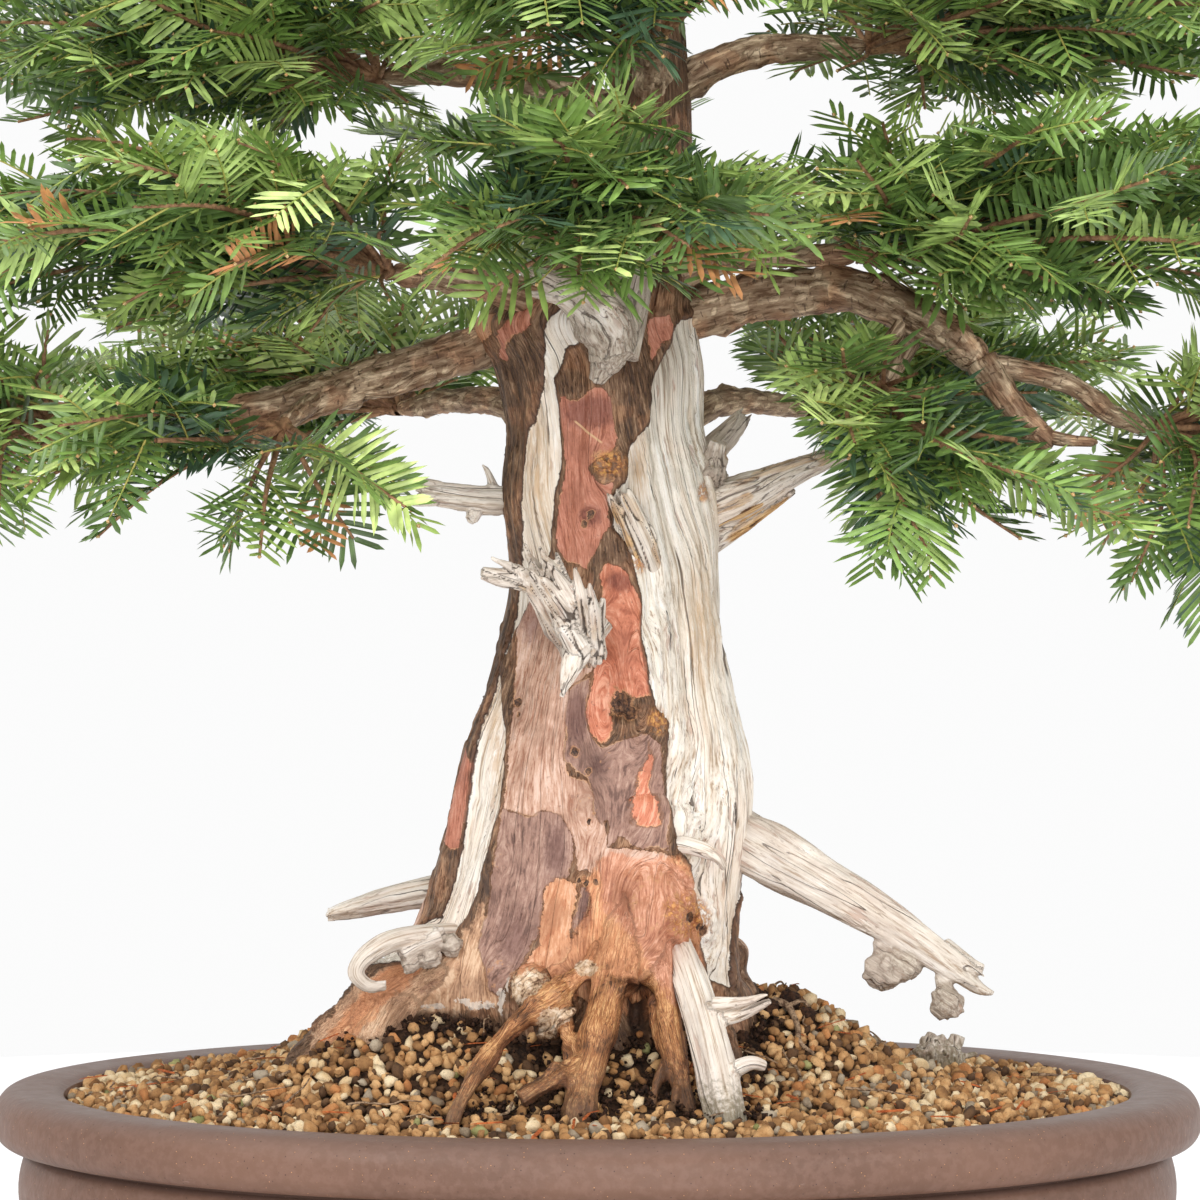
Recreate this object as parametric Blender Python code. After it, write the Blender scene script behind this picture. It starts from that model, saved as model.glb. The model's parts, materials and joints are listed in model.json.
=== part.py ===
"""An English yew bonsai: an old trunk with bare deadwood, layered foliage and an oval stoneware pot.

Metres, +Z up. The origin is the middle of the pot's flat underside. The viewer stands at -Y, so
-X is the viewer's left. Heights of the tree are counted from the pot's rim.
"""

import math

import bmesh
import bpy
import numpy as np
from mathutils import Matrix, Vector

# Driving dimensions
POT_HEIGHT = 0.150
POT_LENGTH = 0.656
POT_DEPTH = 0.500
RIM = POT_HEIGHT
GROUND = RIM - 0.004
GAP = 0.0003
CLEAR = 0.0005
WELD = 0.000002
TREE_TIP = 0.822

# Pot section, as (inset from the rim's outer edge, height), from the underside round to the inner floor
INNER_FLOOR = (0.060, 0.022)
INNER_WALL = (0.044, 0.100)
INNER_LIP = (0.038, POT_HEIGHT - 0.006)
POT_SECTION = (
    (0.080, 0.000), (0.078, 0.010), (0.050, 0.012), (0.030, 0.030), (0.018, 0.062), (0.013, 0.094),
    (0.016, 0.114), (0.020, 0.119), (0.005, 0.122), (0.000, 0.131), (0.001, 0.142), (0.007, 0.149),
    (0.016, POT_HEIGHT), (0.033, POT_HEIGHT - 0.001), INNER_LIP, INNER_WALL, INNER_FLOOR,
)
POT_SIDES = 32
POT_CREASE = 35

# Soil: its heaps as (height, middle x and y, spread in x and y), and the seat for the trunk's foot and roots
SOIL_STEP = 0.0015
SOIL_HEAPS = ((0.040, 0.105, 0.030, 0.050, 0.075), (0.016, -0.020, 0.020, 0.170, 0.110))
SOIL_RINGS = (1.0, 0.72, 0.42, 0.16, 0.0)
FOOT_LEFT = 0.196
FOOT_RIGHT = 0.093
FOOT_FRONT = 0.176
FOOT_BACK = 0.090
FOOT_POWER = 5
FOOT_DRAFT = 0.995

# The trunk's outline: height over the rim, then its left, right, front and back faces
TRUNK_OUTLINE = (
    (-0.020, -0.135, 0.090, -0.092, 0.080),
    (0.018, -0.124, 0.084, -0.084, 0.070),
    (0.045, -0.112, 0.079, -0.076, 0.062),
    (0.078, -0.100, 0.076, -0.070, 0.056),
    (0.110, -0.089, 0.078, -0.066, 0.053),
    (0.150, -0.079, 0.083, -0.061, 0.051),
    (0.182, -0.071, 0.081, -0.058, 0.050),
    (0.209, -0.060, 0.074, -0.055, 0.049),
    (0.237, -0.053, 0.068, -0.052, 0.048),
    (0.275, -0.046, 0.065, -0.049, 0.046),
    (0.320, -0.050, 0.066, -0.048, 0.046),
    (0.357, -0.047, 0.057, -0.048, 0.046),
    (0.392, -0.055, 0.057, -0.049, 0.046),
    (0.414, -0.066, 0.054, -0.050, 0.044),
    (0.432, -0.046, 0.053, -0.044, 0.040),
    (0.455, -0.012, 0.052, -0.032, 0.032),
    (0.500, 0.003, 0.050, -0.025, 0.023),
    (0.560, 0.010, 0.047, -0.020, 0.018),
    (0.630, 0.004, 0.036, -0.010, 0.022),
    (0.700, -0.006, 0.019, -0.006, 0.020),
    (0.770, 0.002, 0.017, -0.010, 0.006),
    (TREE_TIP, 0.0125, 0.0165, -0.0055, -0.001),
)
TRUNK_SIDES = 24
TRUNK_RINGS = 25
TRUNK_SPREAD = 1.15

# Hollows that run up the trunk: angle at the foot and at the top in degrees, depth, half width in degrees
TRUNK_HOLLOWS = (
    (-38, -61, 0.10, 11),
    (-176, -92, 0.09, 12),
    (-118, -80, 0.06, 14),
    (62, 100, 0.12, 15),
    (128, 146, 0.10, 14),
    (10, 24, 0.08, 12),
)
HOLLOW_LOW = 0.00
HOLLOW_HIGH = 0.46
HOLLOW_FADE = 0.06

# Limbs, each as a route of points and its radius at the foot and at the tip
ROOTS = (
    (
        (
            (-0.040, -0.015, 0.075), (-0.100, -0.028, 0.048), (-0.140, -0.036, 0.020),
            (-0.178, -0.040, -0.012),
        ),
        0.034, 0.011,
    ),
    (
        (
            (-0.004, -0.060, 0.082), (-0.030, -0.104, 0.048), (-0.052, -0.130, 0.026),
            (-0.074, -0.150, -0.008),
        ),
        0.010, 0.0055,
    ),
    (
        (
            (0.012, -0.052, 0.096), (0.004, -0.100, 0.056), (-0.003, -0.126, 0.030),
            (-0.016, -0.152, -0.010),
        ),
        0.020, 0.009,
    ),
    (
        (
            (0.024, -0.045, 0.092), (0.032, -0.092, 0.052), (0.040, -0.112, 0.024),
            (0.050, -0.128, -0.012),
        ),
        0.015, 0.006,
    ),
    (
        ((0.045, 0.000, 0.090), (0.068, -0.004, 0.045), (0.077, -0.008, -0.012)),
        0.022, 0.012,
    ),
    (
        ((0.030, 0.030, 0.070), (0.054, 0.050, 0.030), (0.061, 0.058, -0.012)),
        0.022, 0.013,
    ),
    (
        ((-0.020, 0.030, 0.080), (-0.028, 0.062, 0.036), (-0.034, 0.074, -0.014)),
        0.024, 0.013,
    ),
    (
        ((-0.060, 0.020, 0.070), (-0.112, 0.034, 0.030), (-0.150, 0.044, -0.014)),
        0.026, 0.010,
    ),
)
ROOT_SIDES = 6
ROOT_RINGS = 7

DEADWOOD = {
    "jin_left": (
        ((-0.030, 0.000, 0.318), (-0.066, -0.004, 0.320), (-0.099, -0.010, 0.324)),
        0.0105, 0.0062,
    ),
    "jin_front": (
        (
            (0.004, -0.030, 0.226), (-0.008, -0.064, 0.243), (-0.022, -0.090, 0.266),
            (-0.036, -0.112, 0.284),
        ),
        0.017, 0.0110,
    ),
    "jin_right": (
        ((0.044, 0.004, 0.308), (0.082, -0.004, 0.322), (0.110, -0.010, 0.335), (0.140, -0.015, 0.346)),
        0.0200, 0.0045,
    ),
    "jin_back": (
        ((0.040, 0.020, 0.325), (0.066, 0.046, 0.350), (0.084, 0.060, 0.369)),
        0.0130, 0.0060,
    ),
    "jin_low": (
        ((-0.070, 0.034, 0.106), (-0.110, 0.040, 0.0985), (-0.152, 0.042, 0.0880)),
        0.0115, 0.0045,
    ),
    "dead_limb": (
        ((0.048, 0.004, 0.152), (0.100, -0.008, 0.122), (0.150, -0.022, 0.094), (0.206, -0.036, 0.057)),
        0.0250, 0.0080,
    ),
    "hook": (
        (
            (-0.058, -0.028, 0.084), (-0.102, -0.068, 0.085), (-0.121, -0.078, 0.077),
            (-0.127, -0.080, 0.068), (-0.121, -0.080, 0.061), (-0.111, -0.078, 0.061),
        ),
        0.0060, 0.0035,
    ),
    "dead_root": (
        (
            (0.040, -0.050, 0.094), (0.052, -0.092, 0.060), (0.060, -0.124, 0.026),
            (0.069, -0.144, -0.008),
        ),
        0.0190, 0.0125,
    ),
    "jin_top": (
        (
            (0.004, -0.030, 0.372), (0.008, -0.056, 0.404), (-0.010, -0.070, 0.421),
            (-0.036, -0.080, 0.427),
        ),
        0.0170, 0.0070,
    ),
}
DEADWOOD_SIDES = 6
DEADWOOD_FLUTES = 0.22
DEADWOOD_RINGS = 3

# Torn prongs and burls, each fused to the piece of deadwood that it belongs to
PRONGS = {
    "jin_left": (
        ((-0.086, -0.008, 0.326), (-0.104, -0.012, 0.3305)),
        0.0040, 0.0012,
    ),
    "jin_front": (
        ((-0.018, -0.088, 0.262), (-0.040, -0.104, 0.272), (-0.060, -0.112, 0.2785)),
        0.0105, 0.0020,
    ),
    "jin_right": (
        ((0.060, 0.010, 0.296), (0.084, 0.006, 0.309), (0.108, 0.000, 0.324)),
        0.0080, 0.0020,
    ),
    "dead_root": (
        ((0.058, -0.104, 0.047), (0.074, -0.108, 0.049), (0.090, -0.110, 0.056)),
        0.0060, 0.0020,
    ),
    "jin_top": (
        ((-0.004, -0.062, 0.410), (-0.020, -0.074, 0.399)),
        0.0080, 0.0030,
    ),
}
BURLS = (
    ((0.154, -0.026, 0.080), (0.155, -0.030, 0.063), 0.0105),
    ((0.186, -0.032, 0.062), (0.188, -0.037, 0.046), 0.0095),
)
BURL_OWNER = "dead_limb"
BURL_NECK = 0.5
BURL_PRESS = 0.78
PRONG_SIDES = 5

# Boughs that show under the foliage, each tapering along its route
BOUGHS = {
    "bough_left_low": (
        (
            (-0.040, 0.000, 0.412), (-0.118, -0.010, 0.385), (-0.203, -0.040, 0.362),
            (-0.284, -0.050, 0.356),
        ),
        0.0135, 0.0060,
    ),
    "bough_left_front": (
        ((-0.150, -0.022, 0.374), (-0.160, -0.045, 0.365), (-0.166, -0.062, 0.358)),
        0.0062, 0.0045,
    ),
    "bough_left_mid": (
        ((-0.020, -0.024, 0.424), (-0.070, -0.050, 0.434), (-0.110, -0.066, 0.438)),
        0.0105, 0.0060,
    ),
    "bough_right_low": (
        (
            (0.030, 0.000, 0.416), (0.088, -0.016, 0.428), (0.137, -0.040, 0.430),
            (0.179, -0.066, 0.408), (0.205, -0.075, 0.388),
        ),
        0.0150, 0.0090,
    ),
    "bough_right_stub": (
        ((0.2030, -0.0743, 0.3905), (0.221, -0.080, 0.361), (0.2385, -0.085, 0.344)),
        0.0088, 0.0075,
    ),
    "bough_right_out": (
        (
            (0.2040, -0.0740, 0.389), (0.246, -0.070, 0.380), (0.272, -0.066, 0.363),
            (0.296, -0.062, 0.356),
        ),
        0.0062, 0.0048,
    ),
    "bough_right_front": (
        ((0.166, -0.060, 0.402), (0.158, -0.066, 0.388), (0.152, -0.072, 0.378)),
        0.0060, 0.0045,
    ),
}
SPRINGS_FROM = {
    "bough_left_front": ("bough_left_low",),
    "bough_right_front": ("bough_right_low",),
    "bough_right_stub": ("bough_right_low",),
    "bough_right_out": ("bough_right_low", "bough_right_stub"),
}
BOUGH_SIDES = 6
BOUGH_RINGS = 2

# Upper boughs, worked out by a rule: how much lower each leaves the trunk for each metre that it reaches out,
# how far under the tip the last one leaves it, where it stops inside its mass, its arch and its radii
UPPER_CLIMB = 0.22
UPPER_LAST = 0.035
UPPER_ENTRY = 0.72
UPPER_SHORTEST = 0.35
UPPER_ARCH = 0.10
UPPER_FOOT = 0.0105
UPPER_SHARE = 0.62
UPPER_TAPER = 0.55

# Foliage masses: middle and half sizes of the space each one fills, and its limb where that has a name above
FOLIAGE = {
    "foliage_left_low_outer": ((-0.375, -0.040, 0.348), (0.125, 0.135, 0.075), "bough_left_low"),
    "foliage_left_low_inner": ((-0.200, -0.115, 0.342), (0.115, 0.105, 0.070), "bough_left_front"),
    "foliage_left_mid": ((-0.215, -0.080, 0.455), (0.165, 0.150, 0.052), "bough_left_mid"),
    "foliage_right_low_outer": ((0.375, -0.045, 0.322), (0.125, 0.135, 0.088), "bough_right_out"),
    "foliage_right_low_inner": ((0.190, -0.120, 0.345), (0.110, 0.095, 0.070), "bough_right_front"),
    "foliage_right_mid": ((0.235, -0.070, 0.470), (0.165, 0.150, 0.055), ""),
    "foliage_front_mid": ((-0.010, -0.200, 0.462), (0.120, 0.095, 0.050), ""),
    "foliage_back_low_left": ((-0.170, 0.220, 0.395), (0.150, 0.120, 0.065), ""),
    "foliage_back_low_right": ((0.175, 0.220, 0.395), (0.150, 0.120, 0.065), ""),
    "foliage_back_mid": ((0.010, 0.205, 0.515), (0.165, 0.130, 0.055), ""),
    "foliage_left_up": ((-0.215, 0.010, 0.570), (0.155, 0.140, 0.052), ""),
    "foliage_right_up": ((0.235, 0.020, 0.590), (0.150, 0.140, 0.052), ""),
    "foliage_front_up": ((0.030, -0.165, 0.570), (0.135, 0.105, 0.050), ""),
    "foliage_left_high": ((-0.140, -0.040, 0.675), (0.115, 0.115, 0.048), ""),
    "foliage_right_high": ((0.150, -0.035, 0.695), (0.115, 0.115, 0.048), ""),
    "foliage_back_high": ((0.000, 0.135, 0.665), (0.130, 0.105, 0.050), ""),
    "foliage_left_top": ((-0.070, 0.030, 0.775), (0.085, 0.090, 0.045), ""),
    "foliage_right_top": ((0.085, -0.020, 0.785), (0.085, 0.090, 0.045), ""),
    "foliage_apex": ((0.016, -0.006, 0.848), (0.092, 0.092, 0.054), ""),
}
APEX = "foliage_apex"
SPACE_MARGIN = 0.04
LIMB_MARGIN = 0.005
LIMB_SAMPLES = 24
TRUNK_SAMPLES = 90
SPRAYS_LARGE = 9
SPRAYS_SMALL = 7
SMALL_REACH = 0.12
TWIG_FOOT = 0.0026
TWIG_TIP = 0.0014
FORWARD = 0.5
SPRAY_LONGEST = 0.155
SPRAY_TRIES = ((0.99, 0.84), (0.99, 0.70), (0.93, 0.80), (0.86, 0.74), (0.77, 0.66), (0.66, 0.60))
SPRAY_WIDTH = 0.52
SPRAY_NECK = 0.0016
SPRAY_TEETH = ((0.30, 0.80, 0.33), (0.60, 1.00, 0.63), (0.88, 0.72, 0.0))
SPRAY_NOTCH = 0.44
SPRAY_CREST = 0.55
SPRAY_THICK = 0.0013
SPRAY_ARCH = 0.55
SPRAY_ROLL = 50
SPRAY_APART = 0.004
STEM_RINGS = 5
STEM_STRAIGHT = 0.010
STEM_TAPER = 0.9
STEM_LEVEL = 0.3
STEM_REACH = 0.55
STEM_RISE = 0.1
STEM_BEND = 0.3
LEADER_FOOT = 0.0020
LEADER_RISE = 0.7
STEM_SEATS = 90
SEATS = (10, 84)
SEATS_APART = 0.005
SEED = 8113

# Materials, as (red, green, blue), roughness
MATERIALS = {
    "stoneware": ((0.155, 0.085, 0.060), 0.45),
    "soil": ((0.300, 0.190, 0.095), 0.95),
    "bark": ((0.330, 0.150, 0.110), 0.75),
    "deadwood": ((0.640, 0.580, 0.500), 0.85),
    "needles": ((0.070, 0.190, 0.045), 0.55),
}


def clear_scene():
    for item in list(bpy.data.objects):
        bpy.data.objects.remove(item)


def make_material(name):
    colour, roughness = MATERIALS[name]
    material = bpy.data.materials.new(name)
    material.use_nodes = True
    shader = material.node_tree.nodes["Principled BSDF"]
    shader.inputs["Base Color"].default_value = (*colour, 1.0)
    shader.inputs["Roughness"].default_value = roughness
    shader.inputs["Metallic"].default_value = 0.0
    material.diffuse_color = (*colour, 1.0)
    return material


def place(name, builder, material):
    """Turns a bmesh into a named object in the scene, with its faces pointing out."""
    bmesh.ops.recalc_face_normals(builder, faces=builder.faces[:])
    mesh = bpy.data.meshes.new(name)
    builder.to_mesh(mesh)
    builder.free()
    item = bpy.data.objects.new(name, mesh)
    bpy.context.scene.collection.objects.link(item)
    item.data.materials.append(bpy.data.materials[material])
    return item


def smooth_route(points, steps):
    """Evenly numbered points on the smooth curve that runs through the given ones."""
    points = np.asarray(points, float)
    padded = np.vstack([2 * points[0] - points[1], points, 2 * points[-1] - points[-2]])
    places = np.linspace(0, len(points) - 1, steps)
    spans = np.minimum(places.astype(int), len(points) - 2)
    t = (places - spans)[:, None]
    a, b, c, d = (padded[spans + k] for k in range(4))
    return 0.5 * (2 * b + (c - a) * t + (2 * a - 5 * b + 4 * c - d) * t**2 + (3 * b - a - 3 * c + d) * t**3)


def frames_along(points):
    """Two directions across the curve at each point, carried along without twisting."""
    heading = np.gradient(points, axis=0)
    heading /= np.linalg.norm(heading, axis=1)[:, None]
    side = np.cross(heading[0], (0.0, 0.0, 1.0))
    if np.linalg.norm(side) < 0.1:
        side = np.cross(heading[0], (0.0, 1.0, 0.0))
    sides = []
    for direction in heading:
        side = side - direction * np.dot(side, direction)
        side /= np.linalg.norm(side)
        sides.append(side)
    sides = np.array(sides)
    return heading, sides, np.cross(sides, heading)


def skin_rings(rings):
    """A closed bmesh through a list of rings of points, with a flat cap at each end."""
    builder = bmesh.new()
    loops = [[builder.verts.new(point) for point in ring] for ring in rings]
    count = len(loops[0])
    for low, high in zip(loops, loops[1:]):
        for k in range(count):
            after = (k + 1) % count
            builder.faces.new((low[k], low[after], high[after], high[k]))
    builder.faces.new(loops[0][::-1])
    builder.faces.new(loops[-1])
    return builder


def tube_rings(points, radii, sides, flutes=0.0, grow=0.0):
    """Rings of a tapering limb. Flutes press alternate sides in, as on weathered wood."""
    _, across, up = frames_along(points)
    angles = np.arange(sides) * 2 * math.pi / sides
    press = 1 - flutes * (np.arange(sides) % 2)
    rings = []
    for point, radius, x_side, y_side in zip(points, radii, across, up):
        reach = (radius * press + grow)[:, None]
        rings.append(point + reach * (np.cos(angles)[:, None] * x_side + np.sin(angles)[:, None] * y_side))
    return rings


def limb_builder(route, foot, tip, sides, steps, flutes=0.0, grow=0.0):
    points = smooth_route(route, steps)
    radii = np.linspace(foot, tip, steps)
    return skin_rings(tube_rings(points, radii, sides, flutes, grow))


def applied(item):
    """Replaces an object's mesh with the one its modifiers make."""
    graph = bpy.context.evaluated_depsgraph_get()
    mesh = bpy.data.meshes.new_from_object(item.evaluated_get(graph))
    item.modifiers.clear()
    item.data = mesh
    return item


def keep_largest(item):
    """Welds stray corners together, and drops every loose scrap and every hollow that a union sealed."""
    builder = bmesh.new()
    builder.from_mesh(item.data)
    unseen = set(builder.faces)
    shells = []
    while unseen:
        front = [unseen.pop()]
        shell = []
        while front:
            face = front.pop()
            shell.append(face)
            near = {other for edge in face.edges for other in edge.link_faces} & unseen
            unseen -= near
            front.extend(near)
        shells.append(shell)
    shells.sort(key=len)
    for shell in shells[:-1]:
        bmesh.ops.delete(builder, geom=shell, context="FACES")
    bmesh.ops.remove_doubles(builder, verts=builder.verts[:], dist=WELD)
    bmesh.ops.dissolve_degenerate(builder, edges=builder.edges[:], dist=WELD)
    bmesh.ops.triangulate(builder, faces=builder.faces[:])
    builder.to_mesh(item.data)
    builder.free()
    return item


def combine(item, others, operation, solver="EXACT"):
    """Joins or cuts an object with others by one Boolean on a collection, then removes the others."""
    group = bpy.data.collections.new("combined")
    bpy.context.scene.collection.children.link(group)
    for other in others:
        bpy.context.scene.collection.objects.unlink(other)
        group.objects.link(other)
    modifier = item.modifiers.new("combined", "BOOLEAN")
    modifier.operation = operation
    modifier.operand_type = "COLLECTION"
    modifier.collection = group
    modifier.solver = solver
    applied(item)
    for other in others:
        bpy.data.objects.remove(other)
    bpy.data.collections.remove(group)
    return keep_largest(item)


def cut_clear(item, cutter):
    """Cuts an object back from its neighbour, which stays as it is."""
    modifier = item.modifiers.new("clear", "BOOLEAN")
    modifier.operation = "DIFFERENCE"
    modifier.object = cutter
    modifier.solver = "EXACT"
    return keep_largest(applied(item))


def block(name, low, high):
    builder = bmesh.new()
    bmesh.ops.create_cube(builder, size=1.0)
    low, high = Vector(low), Vector(high)
    size = high - low
    seat = Matrix.Translation((low + high) / 2) @ Matrix.Diagonal((*size, 1.0))
    bmesh.ops.transform(builder, matrix=seat, verts=builder.verts)
    return place(name, builder, "bark")


def cut_at_ground(item, floor):
    """Cuts off whatever reaches below the floor."""
    low = (-POT_LENGTH, -POT_LENGTH, floor - POT_HEIGHT)
    return combine(item, [block("below_ground", low, (POT_LENGTH, POT_LENGTH, floor))], "DIFFERENCE")


def over_rim(points):
    """Moves points whose heights are counted from the rim to their real heights."""
    return np.asarray(points, float) + (0.0, 0.0, RIM)


# Trunk


def trunk_section(height):
    """Middle and half sizes of the trunk at a height over the rim, smoothed between the stations."""
    stations = np.array(TRUNK_OUTLINE)
    k = int(np.clip(np.searchsorted(stations[:, 0], height) - 1, 0, len(stations) - 2))
    window = np.clip(np.arange(k - 1, k + 3), 0, len(stations) - 1)
    before, low, high, after = stations[window]
    t = (height - low[0]) / (high[0] - low[0])
    rise_low = (high - before) / max(high[0] - before[0], 1e-6)
    rise_high = (after - low) / max(after[0] - low[0], 1e-6)
    step = high[0] - low[0]
    faces = (
        (2 * t**3 - 3 * t**2 + 1) * low + (t**3 - 2 * t**2 + t) * step * rise_low
        + (3 * t**2 - 2 * t**3) * high + (t**3 - t**2) * step * rise_high
    )
    left, right, front, back = faces[1:]
    return (left + right) / 2, (front + back) / 2, (right - left) / 2, (back - front) / 2


def trunk_fluting(angles, height):
    """How far the hollows press the trunk's outline in, as a factor at each angle."""
    rise = np.clip((height - HOLLOW_LOW) / (HOLLOW_HIGH - HOLLOW_LOW), 0, 1)
    fade = 1 - np.clip((height - HOLLOW_HIGH) / HOLLOW_FADE, 0, 1)
    factor = np.ones_like(angles)
    for foot, top, depth, width in TRUNK_HOLLOWS:
        middle = math.radians(foot + (top - foot) * rise)
        away = (angles - middle + math.pi) % (2 * math.pi) - math.pi
        factor -= depth * fade * np.exp(-((away / math.radians(width)) ** 2))
    return factor


def trunk_builder(grow=0.0):
    low, high = TRUNK_OUTLINE[0][0], TREE_TIP
    heights = low + (high - low) * np.linspace(0, 1, TRUNK_RINGS) ** TRUNK_SPREAD
    angles = np.arange(TRUNK_SIDES) * 2 * math.pi / TRUNK_SIDES
    rings = []
    for height in heights:
        x, y, half_x, half_y = trunk_section(height)
        factor = trunk_fluting(angles, height)
        across = x + (half_x * factor + grow) * np.cos(angles)
        deep = y + (half_y * factor + grow) * np.sin(angles)
        rings.append(np.column_stack([across, deep, np.full(TRUNK_SIDES, height + RIM)]))
    return skin_rings(rings)


def make_trunk(name, grow=0.0):
    """The trunk with its root flare as one body. Grown slightly, it serves to cut its neighbours clear."""
    trunk = place(name, trunk_builder(grow), "bark")
    roots = []
    for number, (route, foot, tip) in enumerate(ROOTS):
        builder = limb_builder(over_rim(route), foot + grow, tip + grow, ROOT_SIDES, ROOT_RINGS)
        roots.append(place(f"{name}_root_{number}", builder, "bark"))
    combine(trunk, roots, "UNION")
    return cut_at_ground(trunk, GROUND - grow)


# Deadwood and boughs


def burl_builder(middle, radius):
    """A weathered burl: a low ball with every other corner pressed in."""
    builder = bmesh.new()
    bmesh.ops.create_icosphere(builder, subdivisions=1, radius=radius)
    for number, vert in enumerate(builder.verts):
        vert.co = vert.co * (1.0 if number % 2 else BURL_PRESS) + Vector(middle)
    return builder


def make_deadwood():
    """Each dead limb, tapering and pressed into flutes, with its torn prongs and its burls fused on."""
    made = {}
    for name, (route, foot, tip) in DEADWOOD.items():
        rings = len(route) + DEADWOOD_RINGS
        builder = limb_builder(over_rim(route), foot, tip, DEADWOOD_SIDES, rings, DEADWOOD_FLUTES)
        made[name] = place(name, builder, "deadwood")
        extras = []
        if name in PRONGS:
            prong, prong_foot, prong_tip = PRONGS[name]
            extras.append(limb_builder(over_rim(prong), prong_foot, prong_tip, PRONG_SIDES, len(prong) + 1))
        if name == BURL_OWNER:
            for seat, middle, radius in BURLS:
                neck = BURL_NECK * radius
                extras.append(limb_builder(over_rim([seat, middle]), neck, neck, PRONG_SIDES, 2))
                extras.append(burl_builder(over_rim(middle), radius))
        if extras:
            combine(made[name], [place(f"{name}_extra", extra, "deadwood") for extra in extras], "UNION")
        if route[-1][2] < GROUND - RIM:
            cut_at_ground(made[name], GROUND)
    return made


def bough_points(route):
    """The middles of the rings along a bough."""
    return smooth_route(route, len(route) + BOUGH_RINGS)


def rule_bough(middle, reach):
    """Route of an upper bough: out of the trunk and up in an arch, to where it enters its mass."""
    middle, reach = np.array(middle), np.array(reach)
    away = math.hypot(middle[0], middle[1])
    start_height = min(middle[2] - UPPER_CLIMB * away, TREE_TIP - UPPER_LAST)
    x, y, _, _ = trunk_section(start_height)
    start = np.array([x, y, start_height])
    heading = middle - start
    entry = 1 - UPPER_ENTRY / np.linalg.norm(heading / reach)
    end = start + heading * max(entry, UPPER_SHORTEST)
    bend = (start + end) / 2 + np.array([0.0, 0.0, UPPER_ARCH * np.linalg.norm(end - start)])
    return np.array([start, bend, end])


def bough_plan():
    """Every bough as a route with its two radii: the named ones, then one for each other mass."""
    plan = {name: (np.array(route), foot, tip) for name, (route, foot, tip) in BOUGHS.items()}
    for name, (middle, reach, limb) in FOLIAGE.items():
        if limb or name == APEX:
            continue
        route = rule_bough(middle, reach)
        _, _, half_x, half_y = trunk_section(route[0][2])
        foot = min(UPPER_FOOT, UPPER_SHARE * min(half_x, half_y))
        plan[name.replace("foliage", "bough")] = (route, foot, UPPER_TAPER * foot)
    return plan


def limb_of(name):
    return FOLIAGE[name][2] or name.replace("foliage", "bough")


def bough_builder(plan, name, grow=0.0):
    route, foot, tip = plan[name]
    points = bough_points(over_rim(route))
    return skin_rings(tube_rings(points, np.linspace(foot, tip, len(points)), BOUGH_SIDES, 0.0, grow))


def make_boughs(plan):
    """All boughs, each side bough cut clear of the one that it springs from."""
    made = {}
    for name in plan:
        made[name] = place(name, bough_builder(plan, name), "bark")
        for parent in SPRINGS_FROM.get(name, ()):
            cutter = place("cutter", bough_builder(plan, parent, CLEAR), "bark")
            cut_clear(made[name], cutter)
            bpy.data.objects.remove(cutter)
    return made


# Foliage


def limb_samples(plan):
    """Points with radii along the trunk and all the limbs, which twigs and sprays keep clear of."""
    samples = []
    for height in np.linspace(0.0, TREE_TIP, TRUNK_SAMPLES):
        x, y, half_x, half_y = trunk_section(height)
        samples.append((x, y, height, max(half_x, half_y)))
    limbs = list(plan.values()) + list(DEADWOOD.values())
    for route, foot, tip in limbs:
        points = smooth_route(route, LIMB_SAMPLES)
        radii = np.linspace(foot, tip, LIMB_SAMPLES)
        samples.extend((*point, radius) for point, radius in zip(points, radii))
    return np.array(samples)


def in_own_space(name, points):
    """True where all points lie in this mass's space and clearly nearer to it than to any other."""
    middle, reach = (np.array(value) for value in FOLIAGE[name][:2])
    own = np.linalg.norm((points - middle) / reach, axis=1)
    if own.max() > 1:
        return False
    for other, (other_middle, other_reach, _) in FOLIAGE.items():
        if other == name:
            continue
        theirs = np.linalg.norm((points - np.array(other_middle)) / np.array(other_reach), axis=1)
        if (own + SPACE_MARGIN > theirs).any():
            return False
    return True


def clear_of_limbs(points, limbs):
    apart = np.linalg.norm(points[:, None, :] - limbs[None, :, :3], axis=2)
    return bool((apart > limbs[None, :, 3] + LIMB_MARGIN).all())


def spray_rings(foot, tip, share, roll):
    """A twig that widens into a toothed blade: its two square rings, both edges and the end of its ridge."""
    span = np.linalg.norm(tip - foot)
    heading = (tip - foot) / span
    length = min(SPRAY_LONGEST, share * span)
    side = np.cross(heading, (0.0, 0.0, 1.0))
    side /= max(np.linalg.norm(side), 1e-6)
    over = np.cross(side, heading)
    side, over = side * math.cos(roll) + over * math.sin(roll), over * math.cos(roll) - side * math.sin(roll)

    def at(x, y, rise=0.0):
        arch = SPRAY_ARCH * x * (length - x)
        return tip + heading * (x - length) + side * y + over * rise + np.array([0.0, 0.0, arch])

    half = length * SPRAY_WIDTH / 2
    edges = []
    for mirror in (1, -1):
        edge = []
        for tooth, share, notch in SPRAY_TEETH:
            edge.append(at(tooth * length, mirror * share * half))
            if notch:
                edge.append(at(notch * length, mirror * SPRAY_NOTCH * half))
        edges.append(edge)
    foot_ring = [foot + TWIG_FOOT * across for across in (side, over, -side, -over)]
    neck_ring = [at(0, SPRAY_NECK), at(0, 0, SPRAY_THICK), at(0, -SPRAY_NECK), at(0, 0, -SPRAY_THICK)]
    crest = [at(SPRAY_CREST * length, 0, SPRAY_THICK), at(SPRAY_CREST * length, 0, -SPRAY_THICK)]
    return np.array(foot_ring), np.array(neck_ring), np.array(edges), np.array(crest), tip


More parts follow.
